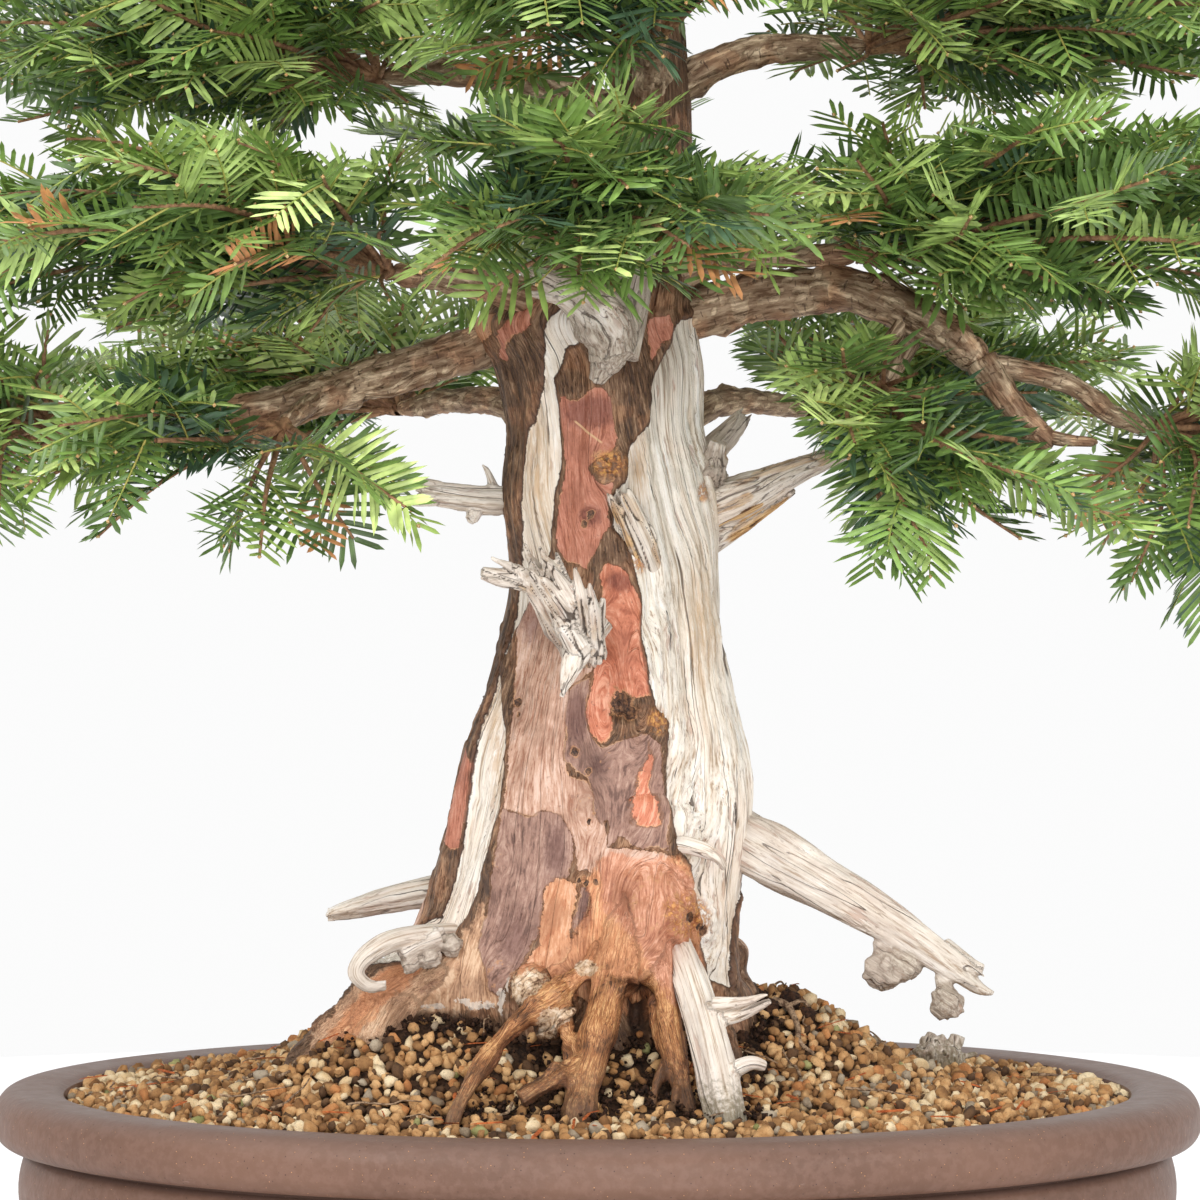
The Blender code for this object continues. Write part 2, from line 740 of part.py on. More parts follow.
def spray_builder(foot_ring, neck_ring, edges, crest, tip):
    builder = bmesh.new()
    foot = [builder.verts.new(point) for point in foot_ring]
    neck = [builder.verts.new(point) for point in neck_ring]
    end = builder.verts.new(tip)
    crests = [builder.verts.new(point) for point in crest]
    builder.faces.new(foot)
    for k in range(4):
        after = (k + 1) % 4
        builder.faces.new((foot[k], foot[after], neck[after], neck[k]))
    for edge, start in zip(edges, (neck[0], neck[2])):
        chain = [start] + [builder.verts.new(point) for point in edge] + [end]
        for near, far in ((neck[1], crests[0]), (neck[3], crests[1])):
            for k in range(len(chain) - 1):
                builder.faces.new((chain[k], chain[k + 1], near if k < 2 else far))
            builder.faces.new((chain[2], near, far))
    return builder


def stem_of(name, plan):
    """The mass's stem: on from its limb's tip, through the middle of the space and towards its far side."""
    middle, reach = (np.array(value) for value in FOLIAGE[name][:2])
    if name == APEX:
        x, y, _, _ = trunk_section(TREE_TIP)
        start = np.array([x, y, TREE_TIP])
        heading = np.array([0.0, 0.0, 1.0])
        foot = LEADER_FOOT
        far = middle + (0.0, 0.0, LEADER_RISE * reach[2])
    else:
        route, _, limb_tip = plan[limb_of(name)]
        points = bough_points(route)
        start = points[-1]
        heading = points[-1] - points[-2]
        heading = heading / np.linalg.norm(heading)
        foot = STEM_TAPER * limb_tip
        outward = (middle - start) * (1.0, 1.0, STEM_LEVEL)
        outward /= np.linalg.norm(outward)
        far = middle + STEM_REACH * outward * np.linalg.norm(reach * outward)
        far = far + (0.0, 0.0, STEM_RISE * reach[2])
    start = start + heading * GAP
    bend = start + heading * STEM_BEND * np.linalg.norm(far - start)
    turn = (bend + (start + far) / 2) / 2
    onward = smooth_route([start + heading * STEM_STRAIGHT, turn, far], STEM_RINGS - 1)
    return np.vstack([start, onward]), foot


def even_directions(count, turn):
    """Directions spread evenly round a ball, turned about the vertical."""
    k = np.arange(count) + 0.5
    rise = 1 - 2 * k / count
    around = k * math.pi * (3 - math.sqrt(5)) + turn
    level = np.sqrt(1 - rise**2)
    return np.column_stack([level * np.cos(around), level * np.sin(around), rise])


def grow_mass(name, plan, limbs):
    """The growth rule: spray tips spread evenly over the space, each on a twig that leaves the stem."""
    middle, reach = (np.array(value) for value in FOLIAGE[name][:2])
    rng = np.random.default_rng(SEED + list(FOLIAGE).index(name))
    stem, stem_foot = stem_of(name, plan)
    line = smooth_route(stem, STEM_SEATS)
    step = np.linalg.norm(line[1] - line[0])
    sprays = []
    seats = []
    taken = np.empty((0, 3))
    count = SPRAYS_SMALL if reach[0] < SMALL_REACH else SPRAYS_LARGE
    for direction in even_directions(count, rng.uniform(0, 2 * math.pi)):
        roll = math.radians(rng.uniform(-SPRAY_ROLL, SPRAY_ROLL))
        for reached, share in SPRAY_TRIES:
            tip = middle + direction * reach * reached
            apart = np.linalg.norm(line - tip, axis=1)
            nearest = int(np.argmin(apart))
            seat = int(np.clip(nearest - FORWARD * apart[nearest] / step, *SEATS))
            while any(abs(seat - other) * step < SEATS_APART for other in seats) and seat < SEATS[1]:
                seat += 1
            foot = line[seat]
            spray = spray_rings(foot, tip, share, roll)
            edges = spray[2]
            middles = (edges[:, 1:] + edges[:, :-1]) / 2
            sample = np.vstack([edges.reshape(-1, 3), middles.reshape(-1, 3), spray[3], tip])
            crossing = np.linspace(foot, spray[1].mean(axis=0), 6)[1:]
            every = np.vstack([sample, crossing])
            fits = in_own_space(name, every) and clear_of_limbs(every, limbs)
            if fits and len(taken):
                fits = np.linalg.norm(every[:, None] - taken[None], axis=2).min() > SPRAY_APART
            if fits:
                sprays.append(spray)
                seats.append(seat)
                taken = np.vstack([taken, sample])
                break
    return stem, stem_foot, sprays


def make_mass(name, plan, limbs):
    stem, stem_foot, sprays = grow_mass(name, plan, limbs)
    radii = np.linspace(stem_foot, TWIG_TIP, len(stem))
    mass = place(name, skin_rings(tube_rings(over_rim(stem), radii, 3)), "needles")
    others = [place(f"{name}_spray", spray_builder(*map(over_rim, spray)), "needles") for spray in sprays]
    return combine(mass, others, "UNION")


# Pot and soil


def oval(inset, height, sides):
    """A level ring of the pot, this far inside the rim's outer edge."""
    angles = np.arange(sides) * 2 * math.pi / sides
    x = (POT_LENGTH / 2 - inset) * np.cos(angles)
    y = (POT_DEPTH / 2 - inset) * np.sin(angles)
    return np.column_stack([x, y, np.full(sides, height)])


def make_pot():
    rings = [oval(inset, height, POT_SIDES) for inset, height in POT_SECTION]
    pot = place("pot", skin_rings(rings), "stoneware")
    pot.data.shade_smooth()
    pot.data.set_sharp_from_angle(angle=math.radians(POT_CREASE))
    return pot


def soil_height(x, y):
    """The soil's surface: just over the roots' feet, banked up behind and to the right of the trunk."""
    height = GROUND + SOIL_STEP
    for rise, middle_x, middle_y, wide, deep in SOIL_HEAPS:
        height = height + rise * np.exp(-(((x - middle_x) / wide) ** 2) - ((y - middle_y) / deep) ** 2)
    return height


def foot_print(sides):
    """Outline on the ground that holds the trunk's foot and all its roots, with the gap to the soil."""
    angles = np.arange(sides) * 2 * math.pi / sides
    across = np.where(np.cos(angles) > 0, FOOT_RIGHT, FOOT_LEFT)
    deep = np.where(np.sin(angles) > 0, FOOT_BACK, FOOT_FRONT)
    bent = np.abs(np.cos(angles) / across) ** FOOT_POWER + np.abs(np.sin(angles) / deep) ** FOOT_POWER
    reach = bent ** (-1 / FOOT_POWER)
    return np.column_stack([reach * np.cos(angles), reach * np.sin(angles), np.zeros(sides)])


def make_soil():
    """Soil that fills the pot, with a shallow flat seat for the trunk's foot."""
    inner = foot_print(POT_SIDES)
    outer = oval(INNER_LIP[0] + CLEAR, 0.0, POT_SIDES)
    rings = [oval(inset + CLEAR, height + GAP, POT_SIDES) for inset, height in (INNER_FLOOR, INNER_WALL)]
    for share in SOIL_RINGS:
        ring = inner + (outer - inner) * share
        ring[:, 2] = soil_height(ring[:, 0], ring[:, 1])
        rings.append(ring)
    rings.append(inner * (FOOT_DRAFT, FOOT_DRAFT, 0.0) + (0.0, 0.0, GROUND - GAP))
    return place("soil", skin_rings(rings), "soil")


def main():
    clear_scene()
    for name in MATERIALS:
        make_material(name)
    plan = bough_plan()
    limbs = limb_samples(plan)
    make_pot()
    make_trunk("trunk")
    deadwood = make_deadwood()
    boughs = make_boughs(plan)
    trunk_space = make_trunk("trunk_space", CLEAR)
    for item in list(deadwood.values()) + list(boughs.values()):
        cut_clear(item, trunk_space)
    make_soil()
    bpy.data.objects.remove(trunk_space)
    for name in FOLIAGE:
        make_mass(name, plan, limbs)


main()
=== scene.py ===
# %% [markdown]
# # An old yew in an oval stoneware pot
#
# This lesson dresses a plain model of a bonsai: trunk, dead limbs, boughs, foliage, soil and pot, each at its real
# size. Each cell replaces some of it with a finer mesh and a finish, in the same frame and metres. The box that is
# measured first is the one that the finished tree has to stay in.

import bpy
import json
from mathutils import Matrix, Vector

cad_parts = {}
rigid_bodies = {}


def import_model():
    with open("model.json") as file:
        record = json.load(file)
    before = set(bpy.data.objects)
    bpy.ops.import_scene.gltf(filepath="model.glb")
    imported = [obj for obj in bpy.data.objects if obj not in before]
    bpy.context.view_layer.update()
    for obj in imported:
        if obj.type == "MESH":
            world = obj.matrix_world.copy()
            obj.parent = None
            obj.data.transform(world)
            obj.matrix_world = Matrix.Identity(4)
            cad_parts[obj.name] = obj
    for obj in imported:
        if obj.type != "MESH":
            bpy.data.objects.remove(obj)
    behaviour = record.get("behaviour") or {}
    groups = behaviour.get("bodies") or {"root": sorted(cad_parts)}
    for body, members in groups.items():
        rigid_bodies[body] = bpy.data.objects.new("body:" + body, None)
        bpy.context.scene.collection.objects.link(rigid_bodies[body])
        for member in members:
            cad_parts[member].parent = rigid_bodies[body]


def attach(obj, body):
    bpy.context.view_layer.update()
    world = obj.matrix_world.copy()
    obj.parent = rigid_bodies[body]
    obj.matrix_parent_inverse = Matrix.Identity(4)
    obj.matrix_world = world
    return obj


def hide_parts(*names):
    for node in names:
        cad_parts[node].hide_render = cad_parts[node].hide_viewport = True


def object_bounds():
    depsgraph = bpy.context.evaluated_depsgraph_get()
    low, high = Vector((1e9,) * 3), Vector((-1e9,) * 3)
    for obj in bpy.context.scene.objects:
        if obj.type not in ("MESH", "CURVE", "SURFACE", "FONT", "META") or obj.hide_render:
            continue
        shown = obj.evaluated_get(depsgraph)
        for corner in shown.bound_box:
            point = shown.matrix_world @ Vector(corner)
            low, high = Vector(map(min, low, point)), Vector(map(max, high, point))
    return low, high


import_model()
cad_box = [list(corner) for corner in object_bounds()]
print("the plain model spans", [[round(value, 4) for value in corner] for corner in cad_box])

# %% Tools for the lesson
import json
import math

import bmesh
import bpy
import numpy as np
from mathutils import Vector
from mathutils.bvhtree import BVHTree

RIM = 0.150
GROUND = RIM - 0.004
SEED = 8113

# %% [markdown]
# ## Camera
#
# The photograph was taken from the front, level with the lower foliage, by a long lens about two metres away. The
# lens, the height and the distance follow from the ellipse of the pot's rim.

# %% The camera
IMAGE_PX = 1200
FOCAL_PX = 3911
MIDDLE_PX = 597.5
CAMERA_BACK = 2.14
CAMERA_HEIGHT = 0.414
SENSOR_MM = 36


def make_camera():
    lens = bpy.data.cameras.new("camera")
    lens.sensor_width = SENSOR_MM
    lens.lens = SENSOR_MM * FOCAL_PX / IMAGE_PX
    lens.shift_x = (IMAGE_PX / 2 - MIDDLE_PX) / IMAGE_PX
    camera = bpy.data.objects.new("camera", lens)
    camera.location = (0.0, -CAMERA_BACK, CAMERA_HEIGHT)
    camera.rotation_euler = (math.radians(90), 0.0, 0.0)
    bpy.context.scene.collection.objects.link(camera)
    bpy.context.scene.camera = camera
    return camera


camera = make_camera()
print("camera with a lens of", round(camera.data.lens, 1), "mm")

# %% [markdown]
# ## Shader maths as Python
#
# A material is a graph of nodes. The class below wraps one socket, so that `1 - mask` or `colour * shade` adds the
# node that does the sum. Colours and vectors go through Vector Math, because a Math node turns a colour grey. Every
# other node comes from the one method `node`.

# %% A socket that Python can reckon with
class Wire:
    """One output of a material's graph. Its operators add nodes and give the new output."""

    def __init__(self, tree, socket=None):
        self.tree, self.socket = tree, socket

    def node(self, kind, settings=None, inputs=None, output=0):
        """Adds a node of a kind, with its settings and what its sockets hold."""
        made = self.tree.nodes.new("ShaderNode" + kind)
        for name, value in (settings or {}).items():
            setattr(made, name, value)
        for name, value in (inputs or {}).items():
            target = made.inputs[name]
            if isinstance(value, Wire):
                self.tree.links.new(value.socket, target)
            elif target.type == "VALUE" or isinstance(value, (tuple, bool)):
                target.default_value = value
            else:
                target.default_value = (value,) * len(target.default_value)
        return Wire(self.tree, made.outputs[output])

    def reckon(self, operation, first, second):
        parts = [part for part in (first, second) if isinstance(part, Wire)]
        wide = any(part.socket.type != "VALUE" for part in parts) or isinstance(second, tuple)
        kind = "VectorMath" if wide or isinstance(first, tuple) else "Math"
        return self.node(kind, {"operation": operation}, {0: first, 1: second})

    def __add__(self, other):
        return self.reckon("ADD", self, other)

    def __sub__(self, other):
        return self.reckon("SUBTRACT", self, other)

    def __rsub__(self, other):
        return self.reckon("SUBTRACT", other, self)

    def __mul__(self, other):
        return self.reckon("MULTIPLY", self, other)

    __radd__ = __add__
    __rmul__ = __mul__

    def step(self, low, high):
        """0 below low, 1 above high and a smooth rise between."""
        values = {"Value": self, "From Min": low, "From Max": high}
        return self.node("MapRange", {"interpolation_type": "SMOOTHSTEP"}, values)

    def size(self):
        return self.node("Math", {"operation": "ABSOLUTE"}, {0: self})

    def noise(self, scale, detail=2.0, roughness=0.5):
        values = {"Vector": self, "Scale": scale, "Detail": detail, "Roughness": roughness}
        return self.node("TexNoise", {}, values)

    def noted(self, name, output="Fac"):
        """What the mesh's points have noted under a name."""
        return self.node("Attribute", {"attribute_name": name}, output=output)

    def height(self):
        return self.node("SeparateXYZ", {}, {0: self}, 2)

    def between(self, low, high):
        """The colour low where this mask is 0, and high where it is 1."""
        return self.node("Mix", {"data_type": "RGBA"}, {0: self, 6: low, 7: high}, 2)


def tone(red, green, blue):
    """A colour from 0 to 255, as a paint chart gives it, made linear for a shader."""
    chart = np.array([red, green, blue]) / 255
    linear = np.where(chart < 0.04045, chart / 12.92, ((chart + 0.055) / 1.055) ** 2.4)
    return (*linear.tolist(), 1.0)


def new_finish(name, **constants):
    """A material, the place on it and its shader, with its constant values set."""
    finish = bpy.data.materials.new(name)
    finish.use_nodes = True
    shader = finish.node_tree.nodes["Principled BSDF"]
    for socket, value in constants.items():
        shader.inputs[socket.replace("_", " ")].default_value = value
    return finish, Wire(finish.node_tree).node("TexCoord", output="Object"), shader


def feed(shader, colour=None, roughness=None, height=None, relief=0.001):
    """Links the colour, the roughness, and a height in steps of relief metres."""
    tree = shader.id_data
    if colour:
        tree.links.new(colour.socket, shader.inputs["Base Color"])
    if roughness:
        tree.links.new(roughness.socket, shader.inputs["Roughness"])
    if height:
        bump = height.node("Bump", {}, {"Height": height, "Distance": relief, "Strength": 1.0})
        tree.links.new(bump.socket, shader.inputs["Normal"])


print("shader maths ready")

# %% [markdown]
# ## Studio
#
# The tree stands before plain white, as in a tent of white cloth: a white world, with four large soft lamps that
# give the form its direction. The floor is a pale round table top, which is staging and no part of the tree.

# %% Floor and light
FLOOR_REACH = 1.5
WORLD_LIGHT = 0.97
LAMPS = {
    "lamp_left": ((-1.6, -2.0, 2.0), (0.0, 0.0, 0.5), 1.5, 34),
    "lamp_right": ((2.0, -1.6, 1.3), (0.0, 0.0, 0.4), 1.5, 16),
    "lamp_over": ((0.2, 0.3, 2.6), (0.0, 0.0, 0.6), 1.8, 20),
    "lamp_front": ((0.3, -3.4, 0.7), (0.0, 0.0, 0.5), 2.2, 42),
}


def new_object(name, mesh):
    made = bpy.data.objects.new(name, mesh)
    bpy.context.scene.collection.objects.link(made)
    return made


def make_floor():
    around = np.linspace(0, 2 * math.pi, 96, endpoint=False)
    points = np.column_stack([np.cos(around), np.sin(around), 0 * around]) * FLOOR_REACH
    mesh = bpy.data.meshes.new("floor")
    mesh.from_pydata(points.tolist(), [], [range(len(points))])
    floor = new_object("floor", mesh)
    finish, place, shader = new_finish("floor", Roughness=0.9)
    feed(shader, place.noise(40, 3).between(tone(243, 243, 245), tone(247, 247, 248)))
    mesh.materials.append(finish)
    return floor


def make_lamp(name, place, aim, size, watts):
    light = bpy.data.lights.new(name, "AREA")
    light.shape = "DISK"
    light.size = size
    light.energy = watts
    lamp = new_object(name, light)
    lamp.location = place
    lamp.rotation_euler = (Vector(aim) - Vector(place)).to_track_quat("-Z", "Y").to_euler()
    return lamp


def light_studio():
    make_floor()
    for name, settings in LAMPS.items():
        make_lamp(name, *settings)
    world = bpy.data.worlds.new("studio")
    world.use_nodes = True
    background = world.node_tree.nodes["Background"]
    background.inputs["Color"].default_value = tone(255, 255, 255)
    background.inputs["Strength"].default_value = WORLD_LIGHT
    bpy.context.scene.world = world
    bpy.context.scene.view_settings.view_transform = "Standard"


light_studio()
print("studio with", len(LAMPS), "lamps")

# %% [markdown]
# ## Shapes from arrays
#
# Limbs, roots and twigs grow along lines. Each is a smooth curve through a few points, with rings of points set
# across it. Whole arrays go to Blender at once, because one call for each point would take minutes.

# %% Curves, rings and tubes
def in_metres(drawn):
    """Sizes in millimetres, however deeply nested, in metres."""
    if isinstance(drawn, dict):
        return {name: in_metres(size) for name, size in drawn.items()}
    if isinstance(drawn, tuple):
        return tuple(in_metres(size) for size in drawn)
    return drawn if isinstance(drawn, str) else drawn / 1000


def smooth_route(points, steps):
    """Points on the smooth curve through the given ones."""
    points = np.asarray(points, float)
    padded = np.vstack([2 * points[0] - points[1], points, 2 * points[-1] - points[-2]])
    places = np.linspace(0, len(points) - 1, steps)
    spans = np.minimum(places.astype(int), len(points) - 2)
    t = (places - spans)[:, None]
    a, b, c, d = (padded[spans + k] for k in range(4))
    return 0.5 * (2 * b + (c - a) * t + (2 * a - 5 * b + 4 * c - d) * t**2 + (3 * b - a - 3 * c + d) * t**3)


def frames_along(points):
    """The heading and two directions across at each point, without twisting."""
    heading = np.gradient(points, axis=0)
    heading /= np.linalg.norm(heading, axis=1)[:, None]
    side = np.cross(heading[0], (0.0, 0.0, 1.0))
    if np.linalg.norm(side) < 0.1:
        side = np.cross(heading[0], (0.0, 1.0, 0.0))
    sides = []
    for direction in heading:
        side = side - direction * np.dot(side, direction)
        side /= np.linalg.norm(side)
        sides.append(side)
    return heading, np.array(sides), np.cross(sides, heading)


def turns(sides):
    """Angles spread evenly round a ring."""
    return np.arange(sides) * 2 * math.pi / sides


def on_rings(sides, heights):
    """Places on rings of radius 1, one ring at each height."""
    angles = np.tile(turns(sides), len(heights))
    return np.column_stack([np.cos(angles), np.sin(angles), np.repeat(heights, sides)])


def read_off(own, places, values):
    """Vectors known at the places, read off at others."""
    return np.column_stack([np.interp(own, places, column) for column in values.T])


def loft(rings):
    """A part from rings of points: its points, four-cornered sides and two ends."""
    count, sides = rings.shape[:2]
    low = np.arange((count - 1) * sides).reshape(-1, sides)
    after = np.roll(low, -1, axis=1)
    quads = np.stack([low, after, after + sides, low + sides], axis=-1).reshape(-1, 4)
    ends = np.array([np.arange(sides)[::-1], np.arange(sides) + (count - 1) * sides])
    return rings.reshape(-1, 3), quads, ends


def tube(points, radii, sides, press=1.0):
    """A limb as a closed part. Press is a factor for each ring and side."""
    _, across, up = frames_along(points)
    angles = turns(sides)[:, None]
    reach = np.asarray(radii, float)[:, None] * (np.ones(sides) * press)
    return loft(points[:, None] + reach[..., None] * (np.cos(angles) * across[:, None] + np.sin(angles) * up[:, None]))


def copies(shape, faces, frames, middles):
    """Copies of a shape as one part, each with its own directions and middle."""
    starts = np.arange(len(middles))[:, None, None] * shape.shape[-2]
    points = shape @ frames + middles[:, None]
    return points.reshape(-1, 3), *[(array + starts).reshape(-1, array.shape[1]) for array in faces]


def merged(parts, smooth=True):
    """One mesh of many parts, each of points and arrays of faces."""
    first = np.cumsum([0] + [len(points) for points, *_ in parts])
    faces = [array + start for (_, *arrays), start in zip(parts, first) for array in arrays]
    sizes = np.concatenate([np.full(len(array), array.shape[1]) for array in faces])
    points = np.vstack([points for points, *_ in parts])
    mesh = bpy.data.meshes.new("shape")
    mesh.vertices.add(len(points))
    mesh.vertices.foreach_set("co", points.astype(np.float32).ravel())
    mesh.loops.add(sizes.sum())
    mesh.loops.foreach_set("vertex_index", np.concatenate([array.ravel() for array in faces]).astype(np.int32))
    mesh.polygons.add(len(sizes))
    mesh.polygons.foreach_set("loop_start", (np.cumsum(sizes) - sizes).astype(np.int32))
    mesh.update(calc_edges=True)
    mesh.validate()
    if smooth:
        mesh.shade_smooth()
    return mesh


def piece(name, mesh, finish, replaced=()):
    """Puts a mesh with its finish on the tree, in place of the plain nodes named."""
    mesh.name = name
    mesh.materials.clear()
    mesh.materials.append(finish)
    made = new_object(name, mesh)
    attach(made, "root")
    if replaced:
        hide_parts(*replaced)
    corners = np.empty(len(mesh.polygons), np.int32)
    mesh.polygons.foreach_get("loop_total", corners)
    print(name, "of", int((corners - 2).sum()), "triangles")
    return made


print("mesh helpers ready")

# %% [markdown]
# Bark and old wood need noise: a smooth random value at each place. This one answers for a whole array.

# %% Noise for whole arrays
LATTICE = 4096
lattice_rng = np.random.default_rng(SEED)
SHUFFLE = lattice_rng.permutation(LATTICE)
SLOPES = lattice_rng.normal(size=(LATTICE, 3))
SLOPES /= np.linalg.norm(SLOPES, axis=1)[:, None]
NOISE_GAIN = 1.7


def noise_at(points, seed=0):
    """Smooth noise from about -1 to 1 at each point, with bumps about one unit across."""
    cell = np.floor(points).astype(np.int64)
    t = points - cell
    fade = t**3 * (t * (t * 6 - 15) + 10)
    total = np.zeros(len(points))
    for corner in np.ndindex(2, 2, 2):
        x, y, z = (cell + corner).T
        number = SHUFFLE[(SHUFFLE[(SHUFFLE[(x + seed) % LATTICE] + y) % LATTICE] + z) % LATTICE]
        weight = np.prod(np.where(corner, fade, 1 - fade), axis=1)
        total += weight * ((t - corner) * SLOPES[number]).sum(axis=1)
    return total * NOISE_GAIN


def layered_noise(points, layers, seed=0):
    """Noise with finer, weaker noise on top of it."""
    return sum(0.5**layer * noise_at(points * 2**layer, seed + 17 * layer) for layer in range(layers))


def smooth_step(value, low, high):
    t = np.clip((value - low) / (high - low), 0, 1)
    return t * t * (3 - 2 * t)


print("noise ready")

# %% [markdown]
# ## Limbs that grow together
#
# Where a root leaves the trunk there is no seam. The Remesh modifier wraps one even skin round closed shapes, and
# the fine relief is pressed into that skin afterwards, along its normals.

# %% One skin round many limbs
def grow_together(parts, voxel, rounds):
    """Joins closed parts into one even skin and smooths it a few rounds."""
    rough = merged(parts)
    carrier = new_object("rough", rough)
    remesh = carrier.modifiers.new("skin", "REMESH")
    remesh.mode = "VOXEL"
    remesh.voxel_size = voxel
    ease = carrier.modifiers.new("ease", "SMOOTH")
    ease.factor = 0.5
    ease.iterations = rounds
    graph = bpy.context.evaluated_depsgraph_get()
    skin = bpy.data.meshes.new_from_object(carrier.evaluated_get(graph))
    bpy.data.objects.remove(carrier)
    bpy.data.meshes.remove(rough)
    return skin


def read_skin(mesh):
    """The points and normals of a mesh as arrays."""
    points = np.empty(len(mesh.vertices) * 3, np.float32)
    normals = np.empty(len(mesh.vertices) * 3, np.float32)
    mesh.vertices.foreach_get("co", points)
    mesh.vertex_normals.foreach_get("vector", normals)
    return points.reshape(-1, 3).astype(float), normals.reshape(-1, 3).astype(float)


def press_skin(mesh, rise):
    """Moves a mesh's points along their normals and smooths its shading."""
    points, normals = read_skin(mesh)
    mesh.vertices.foreach_set("co", (points + normals * rise[:, None]).astype(np.float32).ravel())
    mesh.shade_smooth()
    mesh.update()


def note(mesh, **values):
    """Keeps values for each point of a mesh, for its finish to read."""
    for name, numbers in values.items():
        numbers = np.asarray(numbers, np.float32)
        kind, key = ("FLOAT", "value") if numbers.ndim == 1 else ("FLOAT_VECTOR", "vector")
        mesh.attributes.new(name, kind, "POINT").data.foreach_set(key, numbers.ravel())


print("remeshing helpers ready")

# %% [markdown]
# ## Pot
#
# The pot is unglazed oval stoneware, with a rolled rim over a groove and a wall that swells below it. One smooth
# outline is carried round an ellipse, and the finish adds iron's dark clouds, pale sand and fine scratches, with
# painted light on the faces that look up and painted shade in the groove.

# %% The pot's shape
POT_LENGTH = 0.656
POT_DEPTH = 0.500
POT_UNDERSIDE = in_metres(((80, 0), (78.5, 9), (74, 10.5)))
POT_WALL = in_metres(((50, 12), (30, 30), (18, 62), (13, 94), (15.5, 112), (19.5, 117.5)))
POT_BEAD = in_metres((
    (19.5, 117.5), (16.5, 120), (5.5, 121.5), (0.6, 127), (0, 134), (1.2, 141.5), (5.5, 147.5), (12, 149.8),
    (24, 149.6), (32.5, 148.8), (37.2, 146.2),
))
POT_INSIDE = in_metres(((37.2, 146.2), (39, 138), (44, 100), (60, 22)))
POT_SIDES = 288
POT_STEPS = 5


def pot_section():
    """Insets and heights from the underside, over the rim and down inside."""
    stretches = []
    for stretch in (POT_UNDERSIDE, POT_WALL, POT_BEAD, POT_INSIDE):
        flat = [(inset, height, 0.0) for inset, height in stretch]
        stretches.append(smooth_route(flat, (len(stretch) - 1) * POT_STEPS + 1)[:, :2])
    section = np.clip(np.vstack(stretches), 0.0, (POT_LENGTH, RIM))
    return section[np.append(True, np.linalg.norm(np.diff(section, axis=0), axis=1) > 1e-6)]


def make_pot(finish):
    inset, height = (values[:, None] for values in pot_section().T)
    x = (POT_LENGTH / 2 - inset) * np.cos(turns(POT_SIDES))
    y = (POT_DEPTH / 2 - inset) * np.sin(turns(POT_SIDES))
    mesh = merged([loft(np.stack([x, y, height + 0 * x], axis=-1))])
    mesh.set_sharp_from_angle(angle=math.radians(38))
    return piece("oval_pot", mesh, finish, ("pot",))


def stoneware():
    """Unglazed clay, clouded, sand-specked and scratched, with painted light on top and painted shade in its groove.
    """
    finish, place, shader = new_finish("stoneware", Specular_IOR_Level=0.5)
    clouds = place.noise(9, 4, 0.6).step(0.35, 0.68)
    clay = clouds.between(tone(96, 66, 50), tone(110, 78, 61))
    mottle = place.noise(210, 3, 0.6).step(0.42, 0.62) * 0.35
    clay = mottle.between(clay, tone(124, 92, 78))
    # Painted light: the faces that look up are made paler and greyer, as where light from above falls.
    level = place.node("NewGeometry", output="Normal").height().step(0.35, 0.95)
    clay = (level * 0.6).between(clay, tone(116, 94, 86))
    sand = {"Vector": place, "Scale": 620}
    specks = place.node("TexVoronoi", {}, sand)
    chance = place.node("SeparateColor", {}, {0: place.node("TexVoronoi", {}, sand, "Color")})
    pale = (1 - specks.step(0.10, 0.22)) * chance.step(0.90, 0.93)
    dark = (1 - specks.step(0.12, 0.30)) * (1 - chance.step(0.055, 0.075))
    clay = pale.between(clay, tone(200, 146, 100))
    clay = dark.between(clay, tone(62, 38, 30))
    scratches = (place * (1.0, 1.0, 6.0)).noise(95, 4, 0.7).step(0.66, 0.70) * place.noise(23).step(0.5, 0.6)
    clay = (scratches * 0.4).between(clay, tone(150, 122, 110))
    # Painted shade: a dark band in the groove under the rolled rim.
    painted_groove_shade = place.height().step(0.1155, 0.1178) * (1 - place.height().step(0.1192, 0.1208))
    clay = (painted_groove_shade * 0.7).between(clay, tone(48, 30, 25))
    roughness = 0.36 + 0.20 * place.noise(130, 3) + 0.10 * clouds
    peel = place.noise(420, 2, 0.5) * 0.55 + place.noise(60, 2) * 0.9 + pale * 0.5 - scratches * 0.25
    feed(shader, clay, roughness, peel, 0.00045)
    return finish


make_pot(stoneware())

# %% [markdown]
# ## Trunk
#
# An old yew's trunk is a bundle of muscles, each of which feeds one bough, with hollows between them that wind a
# little. It is lofted through measured sections: height, left, right, front and back. The hollows are pressed in,
# the roots are set on, and all of it is grown together into one skin.

# %% The trunk's sections
TRUNK_OUTLINE = (
    (-20, -135, 90, -92, 80), (18, -124, 84, -84, 70), (45, -112, 79, -76, 62), (78, -100, 76, -70, 56),
    (110, -89, 78, -66, 53), (150, -79, 83, -61, 51), (182, -71, 81, -58, 50), (209, -60, 74, -55, 49),
    (237, -53, 68, -52, 48), (275, -46, 65, -49, 46), (320, -50, 66, -48, 46), (357, -47, 57, -48, 46),
    (392, -55, 57, -49, 46), (414, -66, 54, -50, 44), (432, -46, 53, -44, 40), (455, -12, 52, -32, 32),
    (500, 3, 50, -25, 23), (560, 10, 47, -20, 18), (630, 4, 36, -10, 22), (700, -6, 19, -6, 20),
    (770, 2, 17, -10, 6), (822, 12.5, 16.5, -5.5, -1),
)
TRUNK_HOLLOWS = (
    (-38, -61, 0.10, 11),
    (-176, -92, 0.09, 12),
    (-118, -80, 0.06, 14),
    (62, 100, 0.12, 15),
    (128, 146, 0.10, 14),
    (10, 24, 0.08, 12),
)
HOLLOW_HIGH = 0.46
HOLLOW_FADE = 0.06
TRUNK_SIDES = 200
TRUNK_RINGS = 260
